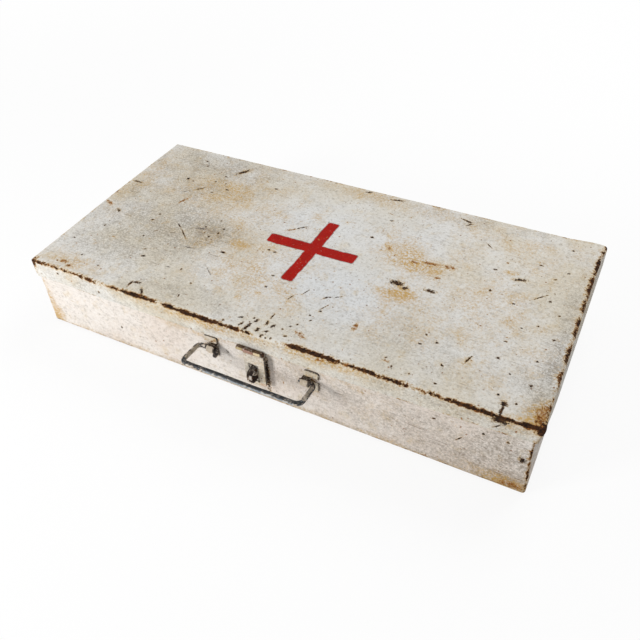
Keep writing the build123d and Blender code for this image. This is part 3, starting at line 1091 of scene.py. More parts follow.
@dataclass
class Skin:
    """A shell's surface under way: points, outward directions, quads, which points are inside, depth."""

    points: Array
    out: Array
    faces: Array
    inside: Array
    depth: Array
    channels: dict[str, Array] = field(default_factory=dict)

    def columns(self) -> Array:
        """x, y and z of every point, one row each, as they are now."""
        return self.points.T.copy()

    def mark_places(self, marks: Iterable[Mark]) -> Array:
        """Where each corner of each quad lies within the mark that is nearest to that quad.

        A place within a mark is its offset turned by the mark's angle and divided by its half size, so
        that the mark is the unit circle. All corners of one quad use the same mark, which keeps a mark's
        outline exact inside the quad however coarse the mesh is. No mark shows on the inner side.

        Args:
            marks: the marks of one kind.

        Returns:
            One row of three numbers for each corner of each quad, in order.
        """
        corners = self.points[self.faces]
        middles = corners.mean(axis=1)
        front = self.out[self.faces].mean(axis=1)[:, 1] < -FRONT_FACING
        hidden = self.inside[self.faces].any(axis=1)
        best = np.full(len(self.faces), np.inf)
        local = np.full((*self.faces.shape, 3), NO_MARK)
        for mark in marks:
            up, on_face = (1, ~front) if mark.face is Face.TOP else (2, front)
            turn = radians(mark.turn)
            across, rise = corners[:, :, 0] - mark.across, corners[:, :, up] - mark.up
            along = (across * np.cos(turn) + rise * np.sin(turn)) / (mark.length / 2)
            aside = (rise * np.cos(turn) - across * np.sin(turn)) / (mark.width / 2)
            distance = np.hypot(middles[:, 0] - mark.across, middles[:, up] - mark.up) - mark.length / 3
            nearer = (distance < best) & on_face & ~hidden
            best[nearer] = distance[nearer]
            local[nearer] = np.stack([along, aside, np.zeros_like(along)], -1)[nearer]
        return np.clip(local, -NO_MARK, NO_MARK).reshape(-1, 3)

    def mark(self, marks: Iterable[Mark]) -> None:
        """Fills the corner channels of the marks' local places, one for each kind of wear."""
        for wear in Wear:
            self.channels[wear.channel] = self.mark_places([mark for mark in marks if mark.wear is wear])
        self.channels["outside"] = np.where(self.inside, 0.0, 1.0)


@dataclass
class FoldedPart(ABC):
    """What the lid and the tray share: a shell of folded sheet, the box's warp, and its own marks."""

    warp: Warp
    marks: tuple[Mark, ...]
    shell: Shell

    @abstractmethod
    def bend(self, skin: Skin) -> None:
        """Moves the true shell to its old shape."""

    @abstractmethod
    def wear(self, skin: Skin, place: Array) -> None:
        """Fills the channels that the paint reads, from the points' true x, y and z, a row each."""

    def old_skin(self) -> Skin:
        """Works out the part as it is now.

        Returns:
            The shell's skin, marked and worn by its true places, and bent.
        """
        skin = self.shell.skin()
        place = skin.columns()
        skin.mark(self.marks)
        self.bend(skin)
        self.wear(skin, place)
        return skin


@dataclass
class Lid(FoldedPart):
    """The folded lid with its painted cross, and the two knuckles rolled forward from its front rim."""

    shell: Shell = Shell(225, 111, 75, 19, 0.8, 2.4, 2.0, 2.2, 1.1, True, fine_front=9)
    rim_rise: float = 3.6
    rim_rise_from: float = 60.0
    rim_rise_to: float = 205.0
    hasp_reach: float = 34.0
    left_knuckle: float = 5.5
    right_knuckle: float = 7.5
    pin_head: float = 0.8
    roll_radius: float = 2.05
    roll_sheet: float = 0.8
    foot_radius: float = 1.0
    front_rust: tuple[tuple[float, float], ...] = (
        (-225, 1.5), (-212, 1.1), (-205, 0.75), (-185, 0.8), (-168, 1.15), (-152, 1.15), (-140, 0.85),
        (-122, 1.2), (-98, 1.35), (-85, 0.95), (-62, 1.25), (-40, 1.45), (-25, 1.1), (-8, 1.25), (2, 0.8),
        (8, 0.35), (22, 0.3), (28, 0.9), (40, 1.15), (58, 1.45), (70, 1.3), (84, 1.12), (110, 1.18),
        (140, 1.08), (165, 1.05), (185, 1.15), (200, 1.25), (214, 1.55), (225, 1.7),
    )
    stains: tuple[Patch, ...] = (
        Patch(-125, 50, 60, 35, 0.42), Patch(-60, -20, 55, 38, 0.30), Patch(-190, -98, 30, 12, 0.45),
        Patch(88, 22, 24, 16, 0.55), Patch(86, -22, 16, 12, 0.6), Patch(60, 35, 18, 22, 0.30),
        Patch(150, 10, 40, 30, 0.22), Patch(190, -40, 40, 55, 0.16), Patch(150, 80, 70, 22, 0.22),
        Patch(10, 100, 110, 12, 0.30), Patch(-23, 49, 9, 9, 0.45), Patch(-15, -60, 40, 20, 0.30),
        Patch(105, -55, 45, 25, 0.26), Patch(218, -102, 8, 12, 1.0), Patch(-215, 40, 18, 70, 0.25),
    )
    grime: tuple[Patch, ...] = (
        Patch(-110, -15, 50, 28, 0.30), Patch(195, -20, 45, 75, 0.08), Patch(120, -75, 70, 30, 0.20),
        Patch(-170, 20, 80, 90, 0.34), Patch(218, -20, 7, 90, 0.40), Patch(-98, -14, 17, 12, 0.55),
        Patch(-150, -50, 70, 45, 0.28), Patch(-150, 90, 80, 25, 0.30), Patch(205, 40, 25, 60, 0.05),
        Patch(80, 100, 90, 14, 0.28), Patch(-60, -95, 60, 16, 0.22), Patch(215, -70, 14, 45, 0.30),
    )
    cool_zones: tuple[Patch, ...] = (
        Patch(40, -40, 75, 50, 0.95), Patch(-30, 40, 55, 45, 0.55), Patch(60, 60, 50, 30, 0.5),
    )

    def bend(self, skin: Skin) -> None:
        """Moves the true shell to its old shape.

        The front bow fades out 50 mm behind the front edge and down the rim, most where the hasp hangs.
        The corner sinks with the tray's, the rim's lower edge climbs towards the right, both side walls
        lean, the back-right corner bulges, low noise makes the plate and the rim wavy, and lumps of crust
        stand on the front edge, never above the true top.

        Args:
            skin: the lid's skin, changed in place.
        """
        x, y, z = place = skin.columns()
        half_length, half_depth, top = self.shell.half_length, self.shell.half_depth, self.shell.closed_z
        points = skin.points
        low = np.clip((top - z) / self.shell.height, 0, 1)
        hung = bell(x, self.hasp_reach)
        held = 1 - low * (0.35 + 0.65 * hung)
        front = smooth_step(y, -half_depth + 50, -half_depth) ** 2
        corner = smooth_step(x, 190, 214) * (1 - 0.5 * smooth_step(x, 218, 225)) * smooth_step(y, 55, 110)
        points[:, 1] += self.warp.back_bulge * corner - self.warp.front_bow(x) * front * held
        lean = 0.8 * smooth_step(x, -215, -224) * low * bell(y + half_depth, 60)
        points[:, 0] += lean - self.warp.side_in(place)
        rise = self.rim_rise * smooth_step(x, self.rim_rise_from, self.rim_rise_to) * (y < FRONT_FROM)
        rise *= np.clip(skin.depth / self.shell.height, 0, 1.05) ** 2
        flat = smooth_step(np.minimum(half_length - np.abs(x), half_depth - np.abs(y)), 4, 30)
        wave = 0.30 * sheet_noise(x, y, 55, 1) + 0.14 * sheet_noise(x, y, 19, 2) - 0.32
        points[:, 2] += rise + wave * flat - self.warp.corner_sink(place, self.shell)
        crust = self.rust_along(x) * near(np.hypot(y + half_depth, z - top), 4.5) * ~skin.inside
        lumps = 0.30 * sheet_noise(x, y + 1.7 * z, 2.3, 3) + 0.22 * sheet_noise(x, y - z, 5.0, 4) - 0.30
        points += skin.out * (crust * lumps)[:, None]
        points[:, 2] = np.minimum(points[:, 2], top)
        dents = 0.16 * sheet_noise(x, z, 24, 5) * (z < top - 4) * (np.abs(y) > half_depth - 3)
        points[:, 1] -= np.abs(dents) * np.sign(skin.out[:, 1]) * smooth_step(low, 0, 0.4) * (1 - hung)

    def rust_along(self, x: Array) -> Array:
        """How rusty the front top edge is at each x, by straight lines between measured stations."""
        stations, levels = np.array(self.front_rust).T
        return np.interp(x, stations, levels)

    def edge_rust(self, skin: Skin, place: Array) -> Array:
        """How rusty each point is by the edges and front corners that it lies near.

        Args:
            skin: the lid's skin.
            place: the points' true x, y and z, a row each.

        Returns:
            The largest of the levels, each a level along its edge times how near the edge is.
        """
        x, y, z = place
        half_length, half_depth = self.shell.half_length, self.shell.half_depth
        top, foot = self.shell.closed_z, self.shell.closed_z - self.shell.height
        broken = 0.98 + 0.32 * sheet_noise(x, y + z, 6, 15) + 0.10 * sheet_noise(x, y + z, 17, 16)
        front = broken * self.rust_along(x) * near_line(y, z, (-half_depth + 0.3, top - 0.8), 4.2)
        right_level = 0.84 + 0.30 * sheet_noise(y, z, 16, 11) + 0.34 * sheet_noise(y, z, 5, 17)
        right_level += 0.40 * smooth_step(y, 20, 70)
        right = right_level * near_line(x, z, (half_length - 0.4, top - 0.4), 5.6)
        left_level = 0.62 * (0.8 + 0.8 * sheet_noise(y, z, 22, 12))
        left = left_level * near_line(x, z, (-half_length + 0.4, top - 0.4), 3.6)
        back_level = 0.72 * (0.9 + 0.5 * sheet_noise(x, z, 18, 13))
        back = back_level * near_line(y, z, (half_depth - 0.4, top - 0.4), 4.0)
        corner = 1.5 * bell(np.hypot(x - half_length, y + half_depth), 9)
        corner += 1.1 * bell(np.hypot(x + half_length, y + half_depth), 7)
        corner *= 0.25 + 0.75 * smooth_step(z, foot + 8, top - 3)
        rim = 0.55 * near(np.abs(z - foot), 2.6) * (0.8 + 0.6 * sheet_noise(x, y, 14, 14))
        return np.max([front, right, left, back, corner, rim], axis=0) * np.where(skin.inside, 0.45, 1)

    def wear(self, skin: Skin, place: Array) -> None:
        """Fills the channels that the paint reads.

        Args:
            skin: the lid's skin, which takes the channels.
            place: the points' true x, y and z, a row each.
        """
        x, y, z = place
        top = self.shell.closed_z
        on_top = np.clip((z - top + 4) / 3, 0, 1)
        under_edge = np.clip((z - top + 15) / 15, 0, 1) * (1 - on_top) * (y < FRONT_FROM)
        rim_stain = 0.75 * bell(x + 45, 60) + 0.85 * bell(x - 62, 34) + 0.35 * smooth_step(x, 150, 220) + 0.25
        # The 0.9 where the rim faces right is painted shade, which darkens the rim on the side away from the
        # key light; the rest is grime.
        side = (1 - on_top) * (0.21 + 0.14 * (x > 100) + 0.9 * (skin.out[:, 0] > FLAT_FACING))
        skin.channels |= {
            "edge": self.edge_rust(skin, place),
            "stain": clouds(self.stains, x, y) * on_top + rim_stain * under_edge + 0.10,
            "dirt": clouds(self.grime, x, y) * on_top + side + np.where(skin.inside, 0.35, 0.10),
            "cool": np.clip(clouds(self.cool_zones, x, y) * on_top, 0, 1),
        }

    def build(self, material: Material) -> Piece:
        """Builds the lid's skin, which stands for the CAD shell.

        Args:
            material: its paint.

        Returns:
            The skin.
        """
        skin = self.old_skin()
        piece = make_piece("lid_skin", skin.points, skin.faces, material, skin.channels)
        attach(piece, "lid")
        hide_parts("lid_shell")
        return piece

    def rolled_section(self, pin_y: float, pin_z: float, front: float) -> tuple[Array, Array]:
        """The knuckle's section: down behind the rim, a bend forward under it, and round the pin.

        Args:
            pin_y: the pin's middle, in millimetres.
            pin_z: its height.
            front: the rim's front face.

        Returns:
            The sheet's two faces as (y, z) points.
        """
        middle = self.roll_radius - self.roll_sheet / 2
        behind = front + self.roll_sheet / 2
        bend_y, bend_z = behind - self.foot_radius, pin_z - middle + self.foot_radius
        bend = np.radians(np.linspace(0, -90, 7))
        roll = np.radians(np.linspace(-90, -385, 34))
        down = np.column_stack([np.full(4, behind), np.linspace(pin_z + 3.0, bend_z + 0.3, 4)])
        arcs = ((bend_y, bend_z, self.foot_radius, bend), (pin_y, pin_z, middle, roll))
        turns = [np.column_stack([y + r * np.cos(angle), z + r * np.sin(angle)]) for y, z, r, angle in arcs]
        line = np.vstack([down, *turns])
        along = unit(np.gradient(line, axis=0))
        across = np.column_stack([along[:, 1], -along[:, 0]]) * self.roll_sheet / 2
        return line - across, line + across

    def build_knuckles(self, material: Material) -> Piece:
        """Builds the two rolled knuckles on the hasp's pin.

        Args:
            material: what they are made of.

        Returns:
            Both, as one piece.
        """
        low, high = (np.array(corner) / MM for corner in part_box("hasp_pin"))
        pin_y, pin_z = (low[1:] + high[1:]) / 2
        outer, inner = self.rolled_section(pin_y, pin_z, -self.shell.half_depth)
        left, right = low[0] + self.pin_head, high[0] - self.pin_head - self.right_knuckle
        shares = np.array([0, 0.03, 0.25, 0.5, 0.75, 0.97, 1])
        strips = [
            swept_strip(outer, inner, start + width * shares)
            for start, width in ((left, self.left_knuckle), (right, self.right_knuckle))
        ]
        points = np.vstack([strip[0] for strip in strips])
        faces = np.vstack([strip[1] + number * len(strip[0]) for number, strip in enumerate(strips)])
        piece = make_piece("lid_knuckles", points, faces, material)
        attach(piece, "lid")
        return piece


@dataclass
class Tray(FoldedPart):
    """The folded tray, with its hem turned in along the top edge."""

    shell: Shell = Shell(223, 109, 0, 73.9, 0.8, 2.4, 2.6, 3.0, 1.6, False, hem=7.0)
    hinge_x: float = 140.0
    hinge_half: float = 32.0
    front_stains: tuple[Patch, ...] = (
        Patch(-45, 54, 60, 7, 0.35), Patch(80, 52, 60, 6, 0.25), Patch(-219, 22, 5, 30, 0.6),
        Patch(205, 8, 22, 8, 0.8), Patch(0, 4, 200, 4, 0.22), Patch(120, 25, 60, 20, 0.12),
    )
    floor_stains: tuple[Patch, ...] = (
        Patch(-120, 40, 50, 30, 0.5), Patch(60, -30, 40, 45, 0.55), Patch(160, 60, 45, 25, 0.5),
        Patch(-30, 80, 60, 16, 0.35), Patch(-170, -60, 35, 30, 0.45),
    )
    front_grime: tuple[Patch, ...] = (
        Patch(150, 28, 75, 32, 0.45), Patch(20, 40, 70, 18, 0.25), Patch(212, 20, 28, 40, 0.75),
        Patch(0, 2, 230, 4, 0.4),
    )

    def bend(self, skin: Skin) -> None:
        """Sinks the front-left corner and leans the right wall with the lid's, and makes the walls wavy.

        The waves are calm at the lock, behind the hinges, at the floor and under the lid.

        Args:
            skin: the tray's skin, changed in place.
        """
        x, y, z = place = skin.columns()
        facing = np.abs(skin.out) > FLAT_FACING
        skin.points[:, 2] -= self.warp.corner_sink(place, self.shell)
        skin.points[:, 0] -= self.warp.side_in(place)
        side = np.where(facing[:, 0], y, x)
        wave = 0.22 * np.abs(sheet_noise(side, z, 38, 21)) + 0.08 * np.abs(sheet_noise(side, z, 13, 22))
        wave *= np.where(np.abs(y) > 100, 1 - bell(x - 3, 70), 1)
        wave *= np.clip(z / 12, 0, 1) * np.clip((72 - z) / 14, 0, 1)
        wave[(y > 100) & (np.abs(np.abs(x) - self.hinge_x) < self.hinge_half)] = 0
        skin.points -= np.sign(skin.out) * facing * wave[:, None] * (1, 1, 0)

    def edge_rust(self, skin: Skin, place: Array) -> Array:
        """How rusty each point is by the edges that it lies near.

        Args:
            skin: the tray's skin.
            place: the points' true x, y and z, a row each.

        Returns:
            The largest of the levels, each a level along its edge times how near the edge is.
        """
        x, y, z = place
        half_length, half_depth = self.shell.half_length, self.shell.half_depth
        floor = np.max([
            near_line(y, z, (-half_depth + 0.7, 0.7), 3.4),
            near_line(y, z, (half_depth - 0.9, 0.9), 3.4),
            near_line(x, z, (half_length - 0.9, 0.9), 3.4),
            near_line(x, z, (-half_length + 0.9, 0.9), 3.4),
        ], axis=0)
        floor *= 0.62 + 0.5 * sheet_noise(x + y, z, 15, 31)
        front_right = (0.84 + 0.42 * sheet_noise(z, y, 6, 32)) * np.clip((z - 2) / 8, 0.5, 1)
        front_right *= near_line(x, y, (half_length - 0.7, -half_depth + 0.7), 3.4)
        others = 0.5 * np.max([
            near_line(x, y, (-half_length + 0.7, -half_depth + 0.7), 3.0),
            near_line(x, y, (half_length - 0.7, half_depth - 0.7), 3.6),
            near_line(x, y, (-half_length + 0.7, half_depth - 0.7), 3.6),
        ], axis=0)
        lip = 0.55 * near(np.abs(z - self.shell.height), 2.0)
        return np.max([floor, front_right, others, lip], axis=0) * np.where(skin.inside, 0.5, 1)

    def wear(self, skin: Skin, place: Array) -> None:
        """Fills the channels that the paint reads.

        Args:
            skin: the tray's skin, which takes the channels.
            place: the points' true x, y and z, a row each.
        """
        x, y, z = place
        on_front = (y < FRONT_FROM) & ~skin.inside
        to_side = skin.out[:, 0]
        # The 0.8 where the wall faces right is painted shade, which darkens the wall on the side away from
        # the key light; the rest is grime.
        side = np.where(np.abs(to_side) > FLAT_FACING, 0.30, 0.12) + 0.8 * (to_side > FLAT_FACING)
        side += 0.2 * (y > 100)
        to_wall = np.minimum(self.shell.half_length - np.abs(x), self.shell.half_depth - np.abs(y))
        fold = np.exp(-to_wall / 9) * (z < 12) * skin.inside
        low_stain = 0.35 * near(z, 7) + 0.05
        floor_stain = (clouds(self.floor_stains, x, y) + 0.5 * fold) * (skin.inside & (z < 4))
        skin.channels |= {
            "edge": self.edge_rust(skin, place),
            "stain": clouds(self.front_stains, x, z) * on_front + low_stain + floor_stain,
            "dirt": clouds(self.front_grime, x, z) * on_front + side + 0.2 * skin.inside + 0.5 * fold,
            "cool": np.zeros(len(x)),
        }

    def build(self, material: Material) -> Piece:
        """Builds the tray's skin, which stands for the CAD shell.

        Args:
            material: its paint.

        Returns:
            The skin.
        """
        skin = self.old_skin()
        piece = make_piece("tray_skin", skin.points, skin.faces, material, skin.channels)
        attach(piece, "tray")
        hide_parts("tray_shell")
        return piece


@dataclass
class Bail:
    """The carrying handle: one wire bent through the two ears, with a turned-out tail and slight kinks."""

    middle_x: float = 4.0
    span: float = 106.0
    pivot: tuple[float, float] = (-114.0, 44.0)
    leg: float = 24.0
    tilt: float = 5.0
    radius: float = 2.0
    tail_x: float = -30.75
    tail_length: float = 6.2
    tail_droop: float = 20.0
    stub_x: float = 43.15
    bends: tuple[float, ...] = (3.0, 4.0, 4.6, 5.2, 4.0)
    step: float = 0.9
    sides: int = 20
    arc_steps: int = 12
    kink: float = 0.35
    pitting: float = 0.03
    end_shares: tuple[float, float] = (0.72, 0.93)

    def corners(self) -> Array:
        """The sharp corners of the wire's middle line, from the tail's tip to the stub's end.

        Returns:
            The corners, one to a row.
        """
        y, z = self.pivot
        lean, droop = radians(self.tilt), radians(self.tail_droop)
        grip_y, grip_z = y - self.leg * np.cos(lean), z + self.leg * np.sin(lean)
        left, right = self.middle_x - self.span / 2, self.middle_x + self.span / 2
        tip = (self.tail_x, y - self.tail_length * np.cos(droop), z - self.tail_length * np.sin(droop))
        return np.array([
            tip, (self.tail_x, y, z), (left, y, z), (left, grip_y, grip_z),
            (right, grip_y, grip_z), (right, y, z), (self.stub_x, y, z),
        ])

    def line(self) -> Array:
        """The middle line: straights, and at each corner an arc between its two tangent points.

        Returns:
            Its points at even steps, one row each.
        """
        corners = self.corners()
        pieces = [corners[:1]]
        for before, corner, after, bend in zip(corners, corners[1:], corners[2:], self.bends):
            back, ahead = unit(np.array([before, after]) - corner)
            half = np.arccos(np.clip(back @ ahead, -1, 1)) / 2
            centre = corner + (back + ahead) / np.linalg.norm(back + ahead) * bend / np.sin(half)
            first, last = (corner + way * bend / np.tan(half) - centre for way in (back, ahead))
            swing = np.pi - 2 * half
            turn = np.linspace(0, swing, self.arc_steps)[:, None]
            pieces.append(centre + (np.sin(swing - turn) * first + np.sin(turn) * last) / np.sin(swing))
        rough = np.vstack([*pieces, corners[-1:]])
        gaps = np.linalg.norm(np.diff(rough, axis=0), axis=1)
        along = np.concatenate([[0], np.cumsum(gaps)])
        even = np.linspace(0, along[-1], round(along[-1] / self.step))
        return np.column_stack([np.interp(even, along, rough[:, axis]) for axis in range(3)])

    def build(self, material: Material) -> Piece:
        """Builds the wire: a ring of points square to the line at each step, a little pitted and kinked.

        Args:
            material: what it is made of.

        Returns:
            The wire, which stands for the CAD handle.
        """
        line = self.line()
        count = len(line)
        number = np.arange(count)
        on_grip = smooth_step(line[:, 1], self.pivot[0] - 18, self.pivot[0] - 23)
        line[:, 2] += self.kink * on_grip * sheet_noise(line[:, 0], line[:, 1], 17, 41)
        along = unit(np.gradient(line, axis=0))
        square = np.array([0.0, np.sin(radians(self.tilt)), np.cos(radians(self.tilt))])
        rise = unit(square - (along @ square)[:, None] * along)
        aside = np.cross(along, rise)
        angles = np.linspace(0, 2 * np.pi, self.sides, endpoint=False)
        pits = np.abs(sheet_noise(number[:, None] * self.step, angles * 2.5, 3.1, 42))
        thick = self.radius * (1 - self.pitting * on_grip[:, None] * pits)
        to_end = np.minimum(number, number[::-1])
        thick *= np.array([*self.end_shares, 1.0])[np.minimum(to_end, 2)][:, None]
        ring = np.cos(angles)[None, :, None] * rise[:, None] + np.sin(angles)[None, :, None] * aside[:, None]
        points = (line[:, None] + thick[:, :, None] * ring).reshape(-1, 3)
        faces = np.roll(tube_faces(self.sides, count, self.sides // 2 - 1)[:, ::-1], 1, axis=1)
        piece = make_piece("bail_wire", points, faces, material)
        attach(piece, "bail")
        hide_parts("bail_handle")
        return piece


@dataclass
class Hardware:
    """The hinges, hasp, staple and ears: their CAD solids, each with its own worn finish."""

    finishes: dict[str, WornPaint | RustySteel]

    def dress(self, effects: Effects) -> None:
        """Gives each carried node the material of its kind.

        Args:
            effects: the shared node groups.
        """
        made = {finish: finish.material(effects) for finish in dict.fromkeys(self.finishes.values())}
        for node, finish in self.finishes.items():
            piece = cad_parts[node]
            if not piece.material_slots:
                piece.data.materials.append(made[finish])
            for slot in piece.material_slots:
                slot.material = made[finish]
            LOG.info("%s: %s", node, finish.name)


def marks(wear: Wear, face: Face, *rows: tuple[float, ...]) -> tuple[Mark, ...]:
    """Marks of one kind on one side; a row is across, up, length, width and, where it is turned, turn."""
    return tuple(Mark(*row, wear=wear, face=face) for row in rows)


LID_MARKS = (
    *marks(
        Wear.BARE, Face.TOP,
        (-127, 89, 14, 3.4, 54), (-172, 56, 3, 3), (-139, 74, 3, 2), (-150, 45, 11, 1.5, 46),
        (-125, 54, 3, 2), (-81, 75, 3, 2), (-215, 30, 9, 2, 2), (-201, -18, 5, 2.4, -34),
        (-160, -8, 2.2, 2), (-132, -16, 8, 1.1, -35), (-121, -25, 16, 1.1, -42), (-134, -67, 3.4, 2.2),
        (-73, -34, 4.4, 2.4, -15), (-28, 27, 10, 1.3, 42), (-38, -14, 2.4, 2), (-32, -15, 2.6, 2),
        (-17, -44, 3, 2), (-120, -101, 6, 2, 84), (-116, -98, 7, 2.2, 12), (-105, -105, 8, 2, -47),
        (-10, -104, 4, 2.2, 70), (-4, -105, 9, 2.6, 80), (-1, -97, 4, 2.2, 60), (5, -105, 4.4, 2.6, 80),
        (8, -96, 4, 2.2, 90), (8, -88, 5, 1.2, 85), (14, -97, 4.4, 2.4, 60), (11, -109, 3, 2, 60),
        (-14, -98, 4, 1.6, 20), (12, -104, 4, 1.8, 30), (36, -50, 7, 1.5, 58), (10, -62, 6, 0.9, 70),
        (18, -51, 7, 0.8, 70), (-15, -59, 2.4, 2), (42, 71, 2.4, 2), (105, 98, 11, 2, -17),
        (108, 94, 6, 1.5, 40), (34, 104, 10, 2, 14), (4, 106, 6, 2, 14), (36, 40, 3, 2.6),
        (80, -10, 12, 5, -3), (88, -13, 5, 3, 20), (108, -8, 8, 3.4), (147, 41, 3, 2),
        (169, 36, 9, 3, 16), (189, 21, 13, 1, 46), (200, 92, 2.4, 2), (198, 19, 2, 1.8),
        (211, -23, 2.2, 2), (151, 13, 2.2, 2), (122, -68, 2.4, 2), (133, -62, 2.2, 2),
        (133, 71, 7, 0.9, -41), (38, -49, 5, 1.1, 28), (44, -46, 8, 0.8, 38), (39, -63, 7, 0.8, 67),
        (159, -69, 8, 1.5, 72), (178, -58, 2.4, 2), (194, -99, 5, 4.5, 90), (194, -105, 12, 2.2, 90),
    ),
    *marks(
        Wear.SCRATCH, Face.TOP,
        (-168, 87, 9, 0.7, -60), (-161, 35, 8, 1.2, 45), (-110, -12, 9, 3, 15), (-104, -71, 5, 1.6, 8),
        (-70, -61, 12, 0.9, -40), (-105, -41, 8, 2, 9),
    ),
    *marks(
        Wear.RUST, Face.TOP,
        (-153, 21, 11, 2, 71), (-216, -12, 8, 3, -24), (-35, 20, 8, 1.5, 35), (-194, -101, 7, 3, 2),
        (-185, -104, 5, 3, 6), (37, -97, 8, 3, -24), (56, 31, 4, 2, -50), (83, 22, 6, 3, 2),
        (97, 26, 14, 3.5, 7), (112, 28, 9, 4, -3), (107, 10, 4, 2.6, 47), (71, -72, 7, 3, 90),
        (106, -95, 4, 2, -4), (220.5, -99, 18, 7, 84),
    ),
    *marks(
        Wear.STAIN, Face.TOP,
        (-66, -18, 13, 8, -5), (-17, -69, 4, 3, 10), (-29, -80, 4, 3, 10), (55, 33, 11, 4, -55),
        (104, 17, 8, 4, 30), (88, -22, 15, 8, 7), (160, 42, 8, 4, 10), (210, -107, 16, 4, 3),
    ),
    *marks(
        Wear.BARE, Face.FRONT,
        (195, 71, 10, 6), (194, 64, 6, 1.6, 50), (194, 64, 6, 1.6, -50), (-195, 68, 2, 2),
        (-149, 63, 2, 2),
    ),
    *marks(
        Wear.RUST, Face.FRONT,
        (60, 70, 6, 2.5, 10),
    ),
)
SPECKS = (
    (-193, 21), (-153, -42), (-161, -18), (-139, -58), (-186, -87), (-162, -93), (-92, -69), (-91, -4),
    (-100, 6), (-165, 54), (-168, 84), (-173, 92), (-132, 63), (-143, 62), (-136, 44), (-74, -97),
    (-74, -81), (-197, -43), (-147, -31), (-210, -70), (-108, -8), (-104, -16), (-97, -20), (-92, -12),
    (126, -100), (146, -101), (144, -82), (178, -39), (190, -70), (188, -92), (123, -57), (112, -99),
    (105, -92), (196, -13), (-25, -106), (-16, -109), (15, -110), (19, -109), (28, -103), (26, -92),
    (22, -97), (34, -75), (37, -80), (39, -67), (-4, -95), (30, -88), (205, -50), (207, -75),
    (199, 30), (209, 5), (204, 60), (172, 5), (185, -20), (202, -95), (195, 48), (180, 62),
)
CROSS = (Mark(-5.7, 3.3, 83.5, 11.6, 0.8), Mark(-3.9, 0.2, 89, 10.2, 89.4))
TRAY_MARKS = (
    *marks(
        Wear.BARE, Face.FRONT,
        # The first two bare marks are painted shade: dark on the wall seen through the hasp's slot, and a
        # painted shadow stripe beside the plate's right edge.
        (2.5, 33.5, 19, 9, 90), (11.5, 31, 34, 3.6, 90), (-177, 55, 2, 2), (-138, 23, 2, 2),
        (217.3, 37, 4.6, 5), (170, 36, 6, 1.2, 50), (150, 48, 3, 1.4, 10), (186, 50, 2, 2),
        (204, 50, 2, 2),
    ),
    *marks(
        Wear.RUST, Face.FRONT,
        (-40, 40, 11, 7, 90), (52, 38, 12, 7, 90), (212, 6, 18, 6, 5),
    ),
    *marks(
        Wear.SCRATCH, Face.FRONT,
        (-25, 41, 3, 2, -40),
    ),
    *marks(
        Wear.STAIN, Face.FRONT,
        (-215, 9, 8, 14),
    ),
)


def specks() -> tuple[Mark, ...]:
    """Small chips at the specks' places, in a few sizes and turned by their own x.

    Returns:
        One mark for each speck.
    """
    return tuple(
        Mark(across, up, 1.5 + 0.35 * (number % 4), 1.3 + 0.25 * (number % 3), across)
        for number, (across, up) in enumerate(SPECKS)
    )


